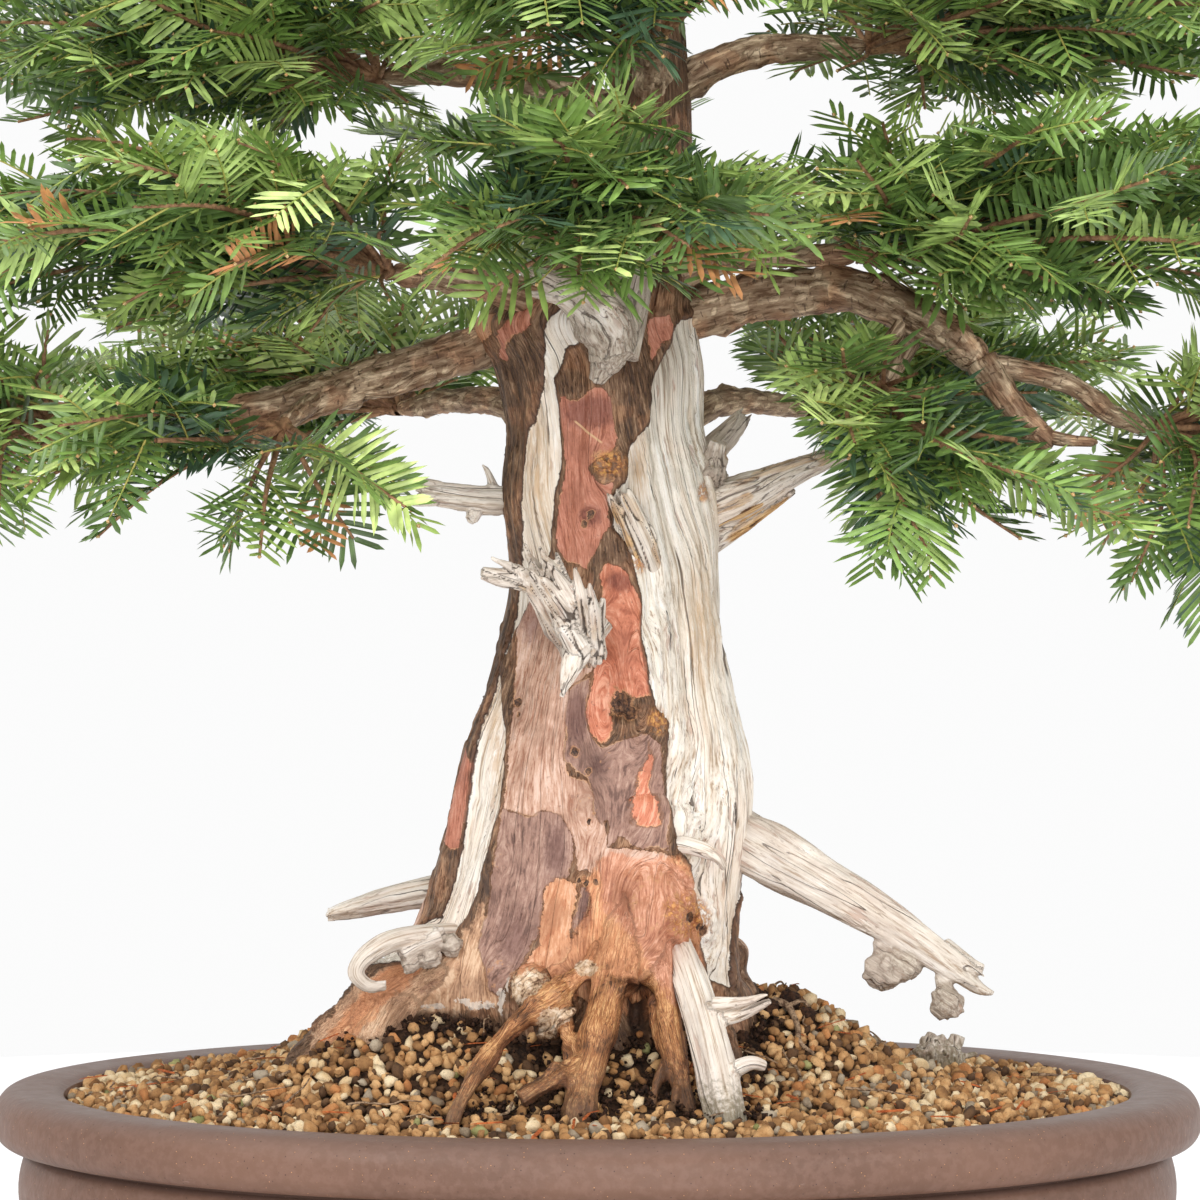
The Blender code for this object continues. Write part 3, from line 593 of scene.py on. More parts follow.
STATIONS = np.array(TRUNK_OUTLINE) / 1000
TREE_TIP = STATIONS[-1, 0]


def trunk_section(heights):
    """Middle and half sizes of the trunk at heights over the rim."""
    heights = np.atleast_1d(np.asarray(heights, float))
    last = len(STATIONS) - 1
    k = np.clip(np.searchsorted(STATIONS[:, 0], heights) - 1, 0, last - 1)
    before, low, high, after = (STATIONS[np.clip(k + shift, 0, last)] for shift in (-1, 0, 1, 2))
    step = (high - low)[:, :1]
    t = (heights[:, None] - low[:, :1]) / step
    rise_low = (high - before) / np.maximum((high - before)[:, :1], 1e-6)
    rise_high = (after - low) / np.maximum((after - low)[:, :1], 1e-6)
    faces = (
        (2 * t**3 - 3 * t**2 + 1) * low + (t**3 - 2 * t**2 + t) * step * rise_low
        + (3 * t**2 - 2 * t**3) * high + (t**3 - t**2) * step * rise_high
    )
    _, left, right, front, back = faces.T
    return (left + right) / 2, (front + back) / 2, (right - left) / 2, (back - front) / 2


def trunk_fluting(angles, height):
    """How far the hollows press the outline in, as a factor at each angle."""
    rise = np.clip(height / HOLLOW_HIGH, 0, 1)
    fade = 1 - np.clip((height - HOLLOW_HIGH) / HOLLOW_FADE, 0, 1)
    factor = np.ones_like(angles)
    for foot, top, depth, width in TRUNK_HOLLOWS:
        middle = math.radians(foot + (top - foot) * rise)
        away = (angles - middle + math.pi) % (2 * math.pi) - math.pi
        factor -= depth * fade * np.exp(-((away / math.radians(width)) ** 2))
    return factor


def trunk_loft():
    heights = np.linspace(STATIONS[0, 0], TREE_TIP, TRUNK_RINGS)
    angles = turns(TRUNK_SIDES)
    rings = []
    for height, x, y, half_x, half_y in zip(heights, *trunk_section(heights)):
        factor = trunk_fluting(angles, height)
        ring = (x + half_x * factor * np.cos(angles), y + half_y * factor * np.sin(angles), 0 * angles + height + RIM)
        rings.append(np.column_stack(ring))
    return loft(np.array(rings))


print("the trunk is", round(2 * float(trunk_section(0.275)[2][0]), 3), "m across at its waist")

# %% [markdown]
# ### Roots
#
# The surface roots leave the muscles high up and dive into the soil. A root swells where it branches and is pinched
# between, so its radius is varied along it by noise. Small side roots fill the gaps under the trunk.

# %% Roots as tapering, knotty limbs
ROOTS = in_metres((
    (((-40, -15, 75), (-100, -28, 48), (-140, -36, 20), (-178, -40, -12)), 34, 11),
    (
        ((6, -60, 92), (-9, -85, 67), (-39, -106, 46), (-56, -126, 29), (-71, -148, 6), (-76, -156, -10)),
        8.8, 3.4,
    ),
    (((20, -50, 120), (11, -76, 82), (3, -104, 48), (-6, -130, 16), (-12, -144, -12)), 13, 7),
    (((30, -50, 104), (34, -86, 56), (41, -108, 24), (50, -124, -12)), 12, 4.2),
    (((45, 0, 90), (68, -4, 45), (77, -8, -12)), 22, 12),
    (((30, 30, 70), (54, 50, 30), (61, 58, -12)), 22, 13),
    (((-20, 30, 80), (-28, 62, 36), (-34, 74, -14)), 24, 13),
    (((-60, 20, 70), (-112, 34, 30), (-150, 44, -14)), 26, 10),
))
SIDE_ROOTS = in_metres((
    (((-6, -122, 30), (-22, -134, 19), (-40, -140, 8)), 6.8, 5),
    (((-92, -24, 56), (-114, -48, 26), (-122, -60, -8)), 24, 13),
    (((38, -100, 34), (30, -114, 12), (26, -122, -6)), 3.8, 1.8),
    (((58, -52, 50), (68, -62, 22), (74, -70, -8)), 10.5, 6),
    (((-16, -96, 46), (-12, -112, 26), (-14, -126, 4)), 6.2, 4.6),
    (((44, -110, 20), (40, -120, 8), (38, -130, -6)), 3, 1.4),
    (((-150, -36, 18), (-166, -50, 6), (-176, -60, -6)), 8, 4),
))
BUTTRESS = in_metres((((26, -28, 146), (29, -52, 110), (22, -73, 78), (13, -84, 60)), 26, 12))
KNOBS = in_metres((((-33, -66, 62), (-35.4, -82, 61.4), 7.4), ((-20, -74, 50), (-24, -101, 45.4), 8.8)))
THIN_ROOT = 0.02
ROOT_SIDES = 20
ROOT_STEPS = 40
ROOT_KNOTS = 0.30
TRUNK_VOXEL = 0.0017


def over_rim(points):
    """Points with heights over the rim, moved to their real heights."""
    return np.asarray(points, float) + (0.0, 0.0, RIM)


def root_radii(foot, tip):
    """Radii along a root. A thin root leaves the trunk as a low ridge."""
    places = np.linspace(0, 1, ROOT_STEPS)
    start = 0.4 if foot < THIN_ROOT else 1.0
    return (foot + (tip - foot) * places) * (start + (1 - start) * smooth_step(places, 0.0, 0.35))


def root_parts():
    parts = []
    steps = np.arange(ROOT_STEPS)
    for number, (route, foot, tip) in enumerate((*ROOTS, *SIDE_ROOTS, BUTTRESS)):
        swell = noise_at(np.column_stack([steps / 4, np.full((ROOT_STEPS, 2), number + 0.5)]), 5)
        lumps = noise_at(on_rings(ROOT_SIDES, steps / 9 + 3.0 * number) * (1.6, 1.6, 1.0), 9)
        radii = root_radii(foot, tip) * (1 + ROOT_KNOTS * swell)
        press = 1 + 0.22 * lumps.reshape(ROOT_STEPS, ROOT_SIDES)
        parts.append(tube(over_rim(smooth_route(route, ROOT_STEPS)), radii, ROOT_SIDES, press))
    for foot, tip, radius in KNOBS:
        parts.append(tube(over_rim(smooth_route((foot, tip), 8)), radius * np.linspace(0.8, 1.0, 8), 14))
    return parts


trunk_skin = grow_together([trunk_loft(), *root_parts()], TRUNK_VOXEL, 9)
print("trunk and roots grown together,", len(trunk_skin.vertices), "points")

# %% [markdown]
# ### Where the bark has flaked
#
# Yew bark comes off in thin plates. What it leaves bare is rose or red at first, then beige, orange and mauve, and
# at last the old brown that flakes again. Where the tree has died back, the bare wood is bleached to ivory. The
# outlines of these patches were drawn on the photograph, in its pixels, and are laid on the trunk here.
#
# Each point of the trunk is given its distance to the edge of each kind of patch, which lets the finish draw a
# sharp, ragged edge between two points.

# %% Outlines of the patches, in the photograph's pixels
PATCHES = {
    "bare": (
        (
            (559, 308), (586, 330), (564, 348), (554, 378), (553, 496), (548, 547), (514, 635), (503, 672),
            (498, 769), (478, 894), (468, 919), (432, 962), (410, 968), (400, 945), (431, 916), (458, 833),
            (474, 760), (519, 595), (523, 544), (521, 522), (523, 488), (529, 447),
        ),
        (
            (675, 325), (653, 389), (648, 426), (632, 447), (626, 482), (610, 497), (612, 525), (629, 544),
            (644, 608), (651, 707), (664, 723), (667, 811), (675, 849), (688, 881), (701, 897), (709, 924),
            (715, 977), (731, 986), (734, 908), (752, 870), (800, 830), (812, 700), (770, 318), (720, 300),
        ),
    ),
    "beige": (
        (
            (520, 612), (530, 585), (562, 600), (592, 640), (590, 672), (568, 691), (565, 742), (567, 774),
            (584, 779), (598, 801), (612, 850), (640, 846), (668, 862), (664, 892), (600, 880), (575, 872),
            (565, 838), (551, 815), (537, 811), (527, 818), (499, 808), (505, 770), (509, 700),
        ),
    ),
    "tan": (),
    "mauve": (
        (
            (567, 691), (590, 678), (586, 704), (592, 728), (608, 744), (621, 742), (637, 734), (656, 745),
            (662, 800), (660, 840), (664, 855), (625, 836), (612, 850), (610, 822), (598, 827), (590, 815),
            (592, 790), (584, 775), (563, 757),
        ),
        (
            (499, 808), (527, 818), (537, 811), (551, 815), (565, 838), (565, 878), (541, 889), (541, 929),
            (535, 948), (519, 975), (498, 996), (487, 991), (478, 948), (490, 913),
        ),
        ((581, 886), (594, 889), (592, 913), (578, 937), (574, 929)),
    ),
    "amber": (
        (
            (580, 884), (606, 862), (690, 858), (712, 905), (716, 960), (690, 1010), (640, 1020), (590, 1000),
            (556, 1000), (540, 975), (560, 952), (576, 938), (592, 908),
        ),
    ),
    "orange": (
        (
            (551, 877), (575, 886), (577, 908), (573, 935), (567, 961), (551, 967), (530, 983), (525, 977),
            (538, 948), (542, 929), (541, 889),
        ),
        ((466, 312), (484, 306), (494, 318), (492, 336), (484, 344), (474, 334)),
    ),
    "flow": (
        (
            (598, 870), (620, 854), (655, 858), (680, 876), (690, 892), (686, 924), (668, 950), (655, 985),
            (640, 1000), (628, 975), (618, 940),
        ),
    ),
    "rose": (
        (
            (561, 395), (578, 396), (590, 390), (602, 388), (613, 399), (620, 443), (606, 504), (611, 524),
            (584, 571), (566, 558), (555, 543), (560, 484), (557, 410),
        ),
        ((653, 322), (668, 316), (672, 334), (655, 362), (651, 345)),
        ((470, 752), (476, 770), (452, 850), (446, 842)),
        ((537, 304), (532, 324), (514, 341), (507, 362), (501, 356), (508, 326), (520, 310)),
    ),
    "red": (
        (
            (608, 560), (626, 568), (645, 608), (648, 696), (624, 696), (613, 710), (616, 726), (608, 744),
            (594, 731), (586, 710), (594, 656), (604, 620), (600, 575),
        ),
        ((640, 742), (648, 758), (648, 790), (652, 827), (637, 822), (633, 801), (636, 774), (644, 755)),
    ),
}
FLAKE = (
    (590, 466), (597, 455), (612, 452), (620, 440), (632, 446), (630, 466), (620, 482), (604, 480),
    (594, 475),
)
FLARE_PATCHES = {
    "tan": (
        (486, 905), (497, 950), (500, 1006), (470, 1008), (432, 1024), (392, 1046), (380, 1075), (330, 1080),
        (290, 1075), (318, 1030), (352, 990), (392, 962), (430, 968), (466, 935),
    ),
    "amber": ((430, 944), (398, 960), (372, 980), (318, 1046), (350, 1040), (380, 1006), (420, 975)),
}
print("outlines of", len(PATCHES), "kinds of patch")

# %% From the photograph's pixels to the trunk's surface
EYE = CAMERA_HEIGHT - RIM
SPREAD = 0.06


def on_trunk(outline):
    """An outline's corners as distance round from the trunk's front, and height."""
    across, down = np.asarray(outline, float).T
    depth = np.full(len(across), -0.05)
    for _ in range(3):
        away = CAMERA_BACK + depth
        height = EYE - (down - IMAGE_PX / 2) * away / FOCAL_PX
        middle_x, middle_y, half_x, half_y = trunk_section(height)
        share = ((across - MIDDLE_PX) * away / FOCAL_PX - middle_x) / half_x
        turn = np.where(np.abs(share) < 1, np.arcsin(np.clip(share, -1, 1)), share * math.pi / 2)
        depth = middle_y - half_y * np.cos(turn)
    return np.column_stack([turn * SPREAD, height])


def edge_distance(places, corners):
    """How far each place lies outside an outline. It is below zero inside."""
    nearest = np.full(len(places), 1.0)
    inside = np.zeros(len(places), bool)
    for start, end in zip(corners, np.roll(corners, -1, axis=0)):
        run = end - start
        reach = places - start
        share = np.clip(reach @ run / max(run @ run, 1e-12), 0, 1)
        nearest = np.minimum(nearest, np.linalg.norm(reach - share[:, None] * run, axis=1))
        crosses = (start[1] > places[:, 1]) != (end[1] > places[:, 1])
        slope = run[0] / (run[1] if abs(run[1]) > 1e-12 else 1e-12)
        inside ^= crosses & (places[:, 0] < start[0] + (places[:, 1] - start[1]) * slope)
    return np.where(inside, -nearest, nearest)


BEHIND = 1.75
BACK_KINDS = {
    "bare": (0.42, 31), "beige": (0.30, 32), "tan": (0.40, 39), "mauve": (0.34, 33), "amber": (0.56, 37),
    "orange": (0.50, 34), "flow": (0.62, 38), "rose": (0.52, 35), "red": (0.60, 36),
}
BACK_SIZE = 0.020


def patch_distances(turn, height, grain):
    """The distance to each kind of patch. Round the back, noise lays them."""
    places = np.column_stack([turn * SPREAD, height])
    wavy = grain * (1.0, 1.0, 4.0)
    for size, reach in ((55, 0.0028), (150, 0.0013)):
        places = places + reach * np.column_stack([noise_at(wavy * size, seed) for seed in (3, 4)])
    found = {}
    for kind, outlines in PATCHES.items():
        laid = np.full(len(places), 0.1)
        for outline in outlines:
            laid = np.minimum(laid, edge_distance(places, on_trunk(outline)))
        level, seed = BACK_KINDS[kind]
        drifting = (level - layered_noise(grain * (26, 26, 70), 3, seed)) * BACK_SIZE
        found[kind] = np.minimum(laid, drifting + 0.03 * smooth_step(-np.abs(turn), -BEHIND, -BEHIND + 0.5))
    flake = edge_distance(places, on_trunk(FLAKE))
    return {kind: np.maximum(distance, -flake) for kind, distance in found.items()}


print("outlines can be laid on the trunk")

# %% [markdown]
# ### Relief
#
# Muscles are wide swells that run up the trunk. Living bark stands proud of the bare wood and rolls over its edge,
# because the tree tries to close the wound. Old bark lifts in plates. Bare wood shrinks into ridges and cracks that
# follow the grain. Knots and pits come last, each at its place, with the stains: spots of rust, grey and tan, cork,
# lime from the water and one pale scratch, and with spots of painted shade on some patches and under the roots.

# %% Knots, hollows, stains and spots of painted shade, in the photograph's pixels
KNOTS = (
    (621, 704, 15, -6), (630, 713, 9, -4), (575, 752, 6, -2.2), (589, 771, 4, -1.5), (608, 763, 5, 1.2),
    (521, 703, 6, -1.6), (523, 716, 3, -1.2), (586, 809, 7, 2.6), (589, 822, 4, -1.2), (503, 862, 5, 1.4),
    (580, 881, 4, -1.6), (587, 883, 4, -1.6), (596, 882, 4, -1.6), (613, 987, 7, 2.8), (503, 977, 10, 3.6),
    (530, 986, 12, 5), (554, 1020, 15, 6.6), (691, 919, 16, 6.6), (705, 815, 15, 2.6), (656, 620, 7, 1.4),
    (610, 466, 11, 1.2), (591, 514, 5, -1.8), (585, 524, 4, -1.4), (690, 860, 12, 3.6), (655, 905, 16, 2.2),
    (682, 918, 6, -3), (692, 926, 5, -2.5), (560, 990, 9, 3.6), (640, 985, 12, 3), (700, 930, 7, -2.2),
    (640, 650, 22, 1.6), (545, 700, 30, 2.2), (620, 800, 28, 2.4), (520, 880, 34, 2.6), (694, 640, 30, 3),
    (700, 740, 34, 3), (678, 480, 24, 2.6), (590, 440, 26, 1.6),
)
HOLLOWS = (
    (445, 1028, 48, 20, 13), (641, 1010, 13, 36, 13), (560, 1062, 40, 26, 12), (500, 1050, 30, 24, 10),
    (574, 360, 12, 24, 5), (632, 466, 7, 22, 4), (604, 360, 26, 14, 4), (690, 1040, 14, 34, 8),
)
SCRATCH = ((571, 417), (608, 448))
SPOTS = {
    "rust": (
        (656, 722, 11, 16), (685, 915, 20, 18, 2.0), (640, 560, 8, 16), (703, 492, 7, 12), (610, 464, 20, 15),
    ),
    "greyed": ((664, 362, 17, 44), (638, 470, 5, 16), (626, 500, 9, 14)),
    # Painted shade: darker spots where the patches lie in shade.
    "painted_shade": (
        (592, 412, 36, 20), (620, 582, 16, 12), (591, 516, 12, 12), (532, 622, 20, 30, 0.7),
        (578, 718, 13, 32), (556, 850, 14, 34, 0.9), (515, 938, 24, 44, 0.7), (586, 908, 8, 24, 0.9),
        (600, 765, 14, 18, 0.7), (656, 800, 6, 50, 0.4),
    ),
    "cork": ((530, 986, 14, 13), (552, 1019, 18, 13), (586, 968, 12, 9)),
    "tanned": (
        (538, 470, 18, 90), (497, 760, 8, 80), (720, 500, 10, 30), (700, 620, 20, 60), (640, 470, 8, 40),
        (728, 930, 9, 60, 0.7),
    ),
    "lime": (
        (484, 1006, 16, 4), (503, 1000, 5, 12), (464, 1002, 14, 3), (512, 986, 3, 8), (430, 1006, 14, 3),
    ),
    "scratched": ((589, 432, 17, 15),),
}
MUSCLE = 0.0030
FLUTE = 0.0011
BARK_THICK = 0.0017
LIP = 0.0010
PLATE = 0.0010
RIDGE = 0.0010
CRACK = 0.0014


def in_photo(points):
    """Where points show in the photograph, in its pixels."""
    away = CAMERA_BACK + points[:, 1]
    return np.column_stack([
        MIDDLE_PX + points[:, 0] * FOCAL_PX / away,
        IMAGE_PX / 2 - (points[:, 2] - CAMERA_HEIGHT) * FOCAL_PX / away,
    ])


def knots_on(points, normals, living):
    """The knots' rise at each point that faces the front, and how much is a pit, which the finish fills with painted
    shade.
    """
    seen = in_photo(points)
    front = smooth_step(-normals[:, 1], 0.05, 0.35)
    rise = np.zeros(len(points))
    pits = np.zeros(len(points))
    ragged = 1 + 0.30 * noise_at(points * 260, 51) + 0.18 * noise_at(points * 620, 52)
    for across, down, radius, height in KNOTS:
        far = np.hypot(seen[:, 0] - across, 0.85 * (seen[:, 1] - down)) / radius * ragged
        rise += front * height / 1000 * np.exp(-(far**2) * 1.4)
        if radius < 20:
            ring = np.exp(-(((far - 1.2) / 0.30) ** 2))
            rise += front * 0.35 * abs(height) / 1000 * ring
            pits = np.maximum(pits, front * (np.exp(-(far**2) * 1.4) if height < 0 else 0.42 * ring * living))
    return rise, pits


def spots_on(points, normals, spots):
    """How strongly each point lies in any of the spots: middle and half sizes."""
    seen = in_photo(points)
    front = smooth_step(-normals[:, 1], -0.1, 0.3)
    total = np.zeros(len(points))
    for across, down, wide, high, *depth in spots:
        far = np.hypot((seen[:, 0] - across) / wide, (seen[:, 1] - down) / high)
        total = np.maximum(total, front * (depth[0] if depth else 1.0) * np.exp(-(far**2)))
    return total


def nearest_limb(points, limbs):
    """Each point's nearest limb, how many radii away, and the place on it."""
    best = np.full(len(points), 9.0)
    number = np.zeros(len(points), int)
    place = np.zeros((len(points), 3))
    for index, (line, radii) in enumerate(limbs):
        forward, side, up = frames_along(line)
        run = np.concatenate([[0], np.cumsum(np.linalg.norm(np.diff(line, axis=0), axis=1))])
        apart = np.linalg.norm(points[:, None] - line[None], axis=2) / radii
        step = apart.argmin(axis=1)
        near = apart.min(axis=1)
        offset = points - line[step]
        own = np.column_stack([(offset * axis[step]).sum(axis=1) for axis in (side, up, forward)])
        own[:, 2] += run[step]
        closer = near < best
        best = np.where(closer, near, best)
        number = np.where(closer, index, number)
        place = np.where(closer[:, None], own, place)
    return best, number, place


GRAIN_PULL = 0.085
SWAY = 0.28
ROOT_TONE_FROM = 0.068
ROOT_TONES = {1: "gold", 2: "gold", 3: "gold", 8: "gold", 10: "gold", 12: "gold", 13: "gold"}


def read_trunk(points):
    """Each point's turn from the front, height, reach and place along the grain."""
    height = points[:, 2] - RIM
    middle_x, middle_y, half_x, half_y = trunk_section(np.clip(height, STATIONS[0, 0], TREE_TIP))
    out_x = (points[:, 0] - middle_x) / half_x
    out_y = (points[:, 1] - middle_y) / half_y
    turn = np.arctan2(out_x, -out_y)
    sway = SWAY * smooth_step(height, 0.275, 0.330) * smooth_step(turn, 0.0, 0.6) * smooth_step(-turn, -2.0, -1.4)
    wind = turn + 0.5 * height + sway + 0.10 * noise_at(np.column_stack([np.cos(turn), np.sin(turn), height * 9]), 8)
    grain = np.column_stack([SPREAD * np.cos(wind), SPREAD * np.sin(wind), height * GRAIN_PULL])
    return turn, height, np.hypot(out_x, out_y), grain


PIXEL = CAMERA_BACK / FOCAL_PX
EYES = [(across, down, 1.25 * radius) for across, down, radius, _ in KNOTS if radius < 20]
EYES += [(621, 706, 26), (655, 905, 22), (640, 985, 16), (618, 640, 20)]


def bent_grain(points, grain):
    """The grain, parted at each knot as a stream parts at a stone."""
    seen = in_photo(points)
    bent = grain.copy()
    for across, down, radius in EYES:
        away = seen - (across, down)
        far = np.maximum((away**2 * (1.0, 0.35)).sum(axis=1), radius**2)
        fade = smooth_step(-far, -((4.0 * radius) ** 2), 0.0)
        bent[:, 1] -= away[:, 0] * PIXEL * fade * radius**2 / far
    return bent


def carve_trunk(mesh):
    """Presses the relief in and notes what the finish needs."""
    points, normals = read_skin(mesh)
    turn, height, out, grain = read_trunk(points)
    low = height < 0.11
    closeness, root, across = np.full(len(points), 9.0), np.zeros(len(points), int), grain.copy()
    limbs = [(over_rim(smooth_route(route, ROOT_STEPS)), root_radii(*ends)) for route, *ends in ROOTS + SIDE_ROOTS]
    closeness[low], root[low], across[low] = nearest_limb(points[low], limbs)
    across[low] = across[low] * (3.0, 3.0, 0.1) + root[low, None] * (0.2, 0.0, 0.0)
    rooted = smooth_step(out, 1.01, 1.14) * smooth_step(-closeness, -1.7, -1.3) * low
    found = patch_distances(turn, height, grain)
    found["gold"] = np.full(len(points), 0.02)
    drop = height - ROOT_TONE_FROM + 0.014 * noise_at(points * 70, 16)
    for number, kind in ROOT_TONES.items():
        edge = np.maximum(0.010 * (0.55 - rooted), 0.16 * drop)
        found[kind] = np.where((rooted > 0.1) & (root == number), np.minimum(edge, found[kind]), found[kind])
    facing = low & (normals[:, 1] < 0.2)
    seen = in_photo(points[facing]) + 3 * np.column_stack([noise_at(points[facing] * 90, seed) for seed in (5, 6)])
    for kind, outline in FLARE_PATCHES.items():
        laid = edge_distance(seen * PIXEL, np.array(outline) * PIXEL)
        found[kind][facing] = np.minimum(found[kind][facing], laid)
    thin = np.isin(root, list(ROOT_TONES))
    for kind in PATCHES:
        others = [number for number, other in ROOT_TONES.items() if other == kind]
        off = (rooted > 0.5) & thin & (drop < -0.012) & ~np.isin(root, others)
        found[kind] = np.where(off, np.maximum(found[kind], 0.004), found[kind])
    # The hollows are pressed in and noted for the finish, which fills them with painted shade.
    hollow = spots_on(points, normals, HOLLOWS) / 1000
    hollow = hollow * (1 - 0.75 * rooted * smooth_step(-points[:, 1], 0.085, 0.10))
    grain = np.where(rooted[:, None] > 0.5, across, bent_grain(points, grain))
    bare = found["bare"]
    living = smooth_step(bare, -0.0006, 0.0010)
    thin = 1 - smooth_step(height, 0.44, 0.56) * 0.6
    rise = MUSCLE * noise_at(grain * (50, 50, 110), 11) * thin * (1 - 0.5 * rooted)
    rise += FLUTE * noise_at(grain * (150, 150, 330), 12)
    rise += living * (BARK_THICK * (1 - 1.2 * rooted) + LIP * np.exp(-(((bare - 0.0032) / 0.0022) ** 2)))
    fresh = np.min([distance for kind, distance in found.items() if kind != "bare"], axis=0)
    old = living * smooth_step(fresh, -0.0004, 0.0010)
    flakes = smooth_step(layered_noise(grain * (210, 210, 330), 2, 13), -0.05, 0.12)
    rise += old * PLATE * flakes + living * 0.5 * PLATE * smooth_step(-found["mauve"], -0.0004, 0.0008)
    ridges = 1 - np.abs(noise_at(grain * (230, 230, 130), 14)) * 2
    cracks = smooth_step(-np.abs(noise_at(grain * (100, 100, 75), 15)), -0.06, -0.01)
    dry = 1 - living
    rise += dry * (RIDGE * ridges - CRACK * cracks)
    knots, pits = knots_on(points, normals, living)
    rise += knots - hollow
    press_skin(mesh, rise)
    note(mesh, **{kind: np.clip(distance, -0.01, 0.01) * 1000 for kind, distance in found.items()})
    stains_and_painted_shade = {name: spots_on(points, normals, spots) for name, spots in SPOTS.items()}
    # Painted shade on the undersides of the roots.
    stains_and_painted_shade["painted_shade"] = np.maximum(stains_and_painted_shade["painted_shade"], 0.8 * rooted * smooth_step(-normals[:, 2], -0.1, 0.5))
    note(mesh, **stains_and_painted_shade)
    start, end = np.array(SCRATCH, float)
    run = (end - start) / np.linalg.norm(end - start)
    aside = (in_photo(points) - start) @ (-run[1], run[0])
    note(mesh, grain=grain, pits=pits, hollow=hollow * 100, scratch=np.clip(aside / 5, -1, 1))


carve_trunk(trunk_skin)
print("trunk carved")

# %% [markdown]
# ### Finish of the trunk
#
# The finish lays each kind of patch over the old brown bark in turn. A mask is made from the noted distance and fine
# noise, which frays its edge. A wider mask less the first one gives a thin line of painted shadow outside the edge,
# and the first less a narrower one gives the golden rim of a fresh edge. The streaks are read from the noted place
# along the grain, so they run with it.

# %% Bark and bare wood in one finish
BARK_PATCHES = (
    ("beige", (192, 152, 130), (148, 98, 74), (216, 184, 166), 0.35),
    ("tan", (190, 148, 116), (124, 88, 62), (222, 188, 156), 2.0),
    ("mauve", (152, 116, 101), (100, 70, 60), (180, 146, 130), 0.35),
    ("amber", (200, 138, 98), (150, 92, 58), (230, 178, 134), 3.0),
    ("orange", (202, 144, 106), (170, 106, 70), (224, 176, 144), 0.35),
    ("gold", (166, 108, 66), (54, 32, 22), (224, 174, 120), 2.4),
    ("flow", (188, 128, 98), (146, 86, 62), (222, 168, 142), 3.0),
    ("rose", (184, 118, 94), (140, 78, 56), (202, 144, 122), 0.35),
    ("red", (202, 124, 94), (162, 86, 60), (228, 166, 138), 0.35),
)


def streaked(streaks, body, dark, light):
    """A colour with darker and lighter streaks in it."""
    shaded = streaks.step(0.50, 0.36).between(tone(*body), tone(*dark))
    return streaks.step(0.50, 0.64).between(shaded, tone(*light))


def bare_wood(grain, place, weather):
    """Bleached wood: ivory or grey, with mauve dashes and long dark lines."""
    flow = grain * (1.0, 1.0, 0.45)
    fine = flow.noise(620, 3, 0.7)
    broad = flow.noise(140, 3, 0.6)
    streaks = fine * 0.6 + broad * 0.4
    wood = streaked(streaks, (236, 226, 213), (200, 180, 158), (247, 242, 236))
    clouds = place.noise(22, 3, 0.6)
    wood = (clouds.step(0.50, 0.66) * 0.40).between(wood, tone(232, 208, 188))
    grey = streaked(fine, (164, 150, 134), (100, 88, 74), (200, 190, 174))
    wood = (weather + clouds.step(0.44, 0.30) * 0.3).between(wood, grey)
    dash = (grain * (1.0, 1.0, 2.0)).noise(300, 3, 0.65)
    wood = (dash.step(0.57, 0.66) * clouds.step(0.42, 0.52) * 0.55).between(wood, tone(172, 130, 110))
    wood = (fine.step(0.43, 0.34) * 0.6).between(wood, tone(150, 122, 96))
    split = ((grain * (1.0, 1.0, 0.30)).noise(88, 2, 0.45) - 0.5).size()
    line = split.step(0.0085, 0.002) * broad.step(0.40, 0.50)
    wood = (line * 0.85).between(wood, tone(74, 56, 44))
    hair = ((grain * (1.0, 1.0, 0.22)).noise(250, 2, 0.5) - 0.5).size()
    wood = (hair.step(0.016, 0.004) * clouds.step(0.40, 0.52) * 0.6).between(wood, tone(122, 98, 80))
    return wood, streaks * 0.9 - line * 1.0 - dash.step(0.57, 0.66) * 0.3, split


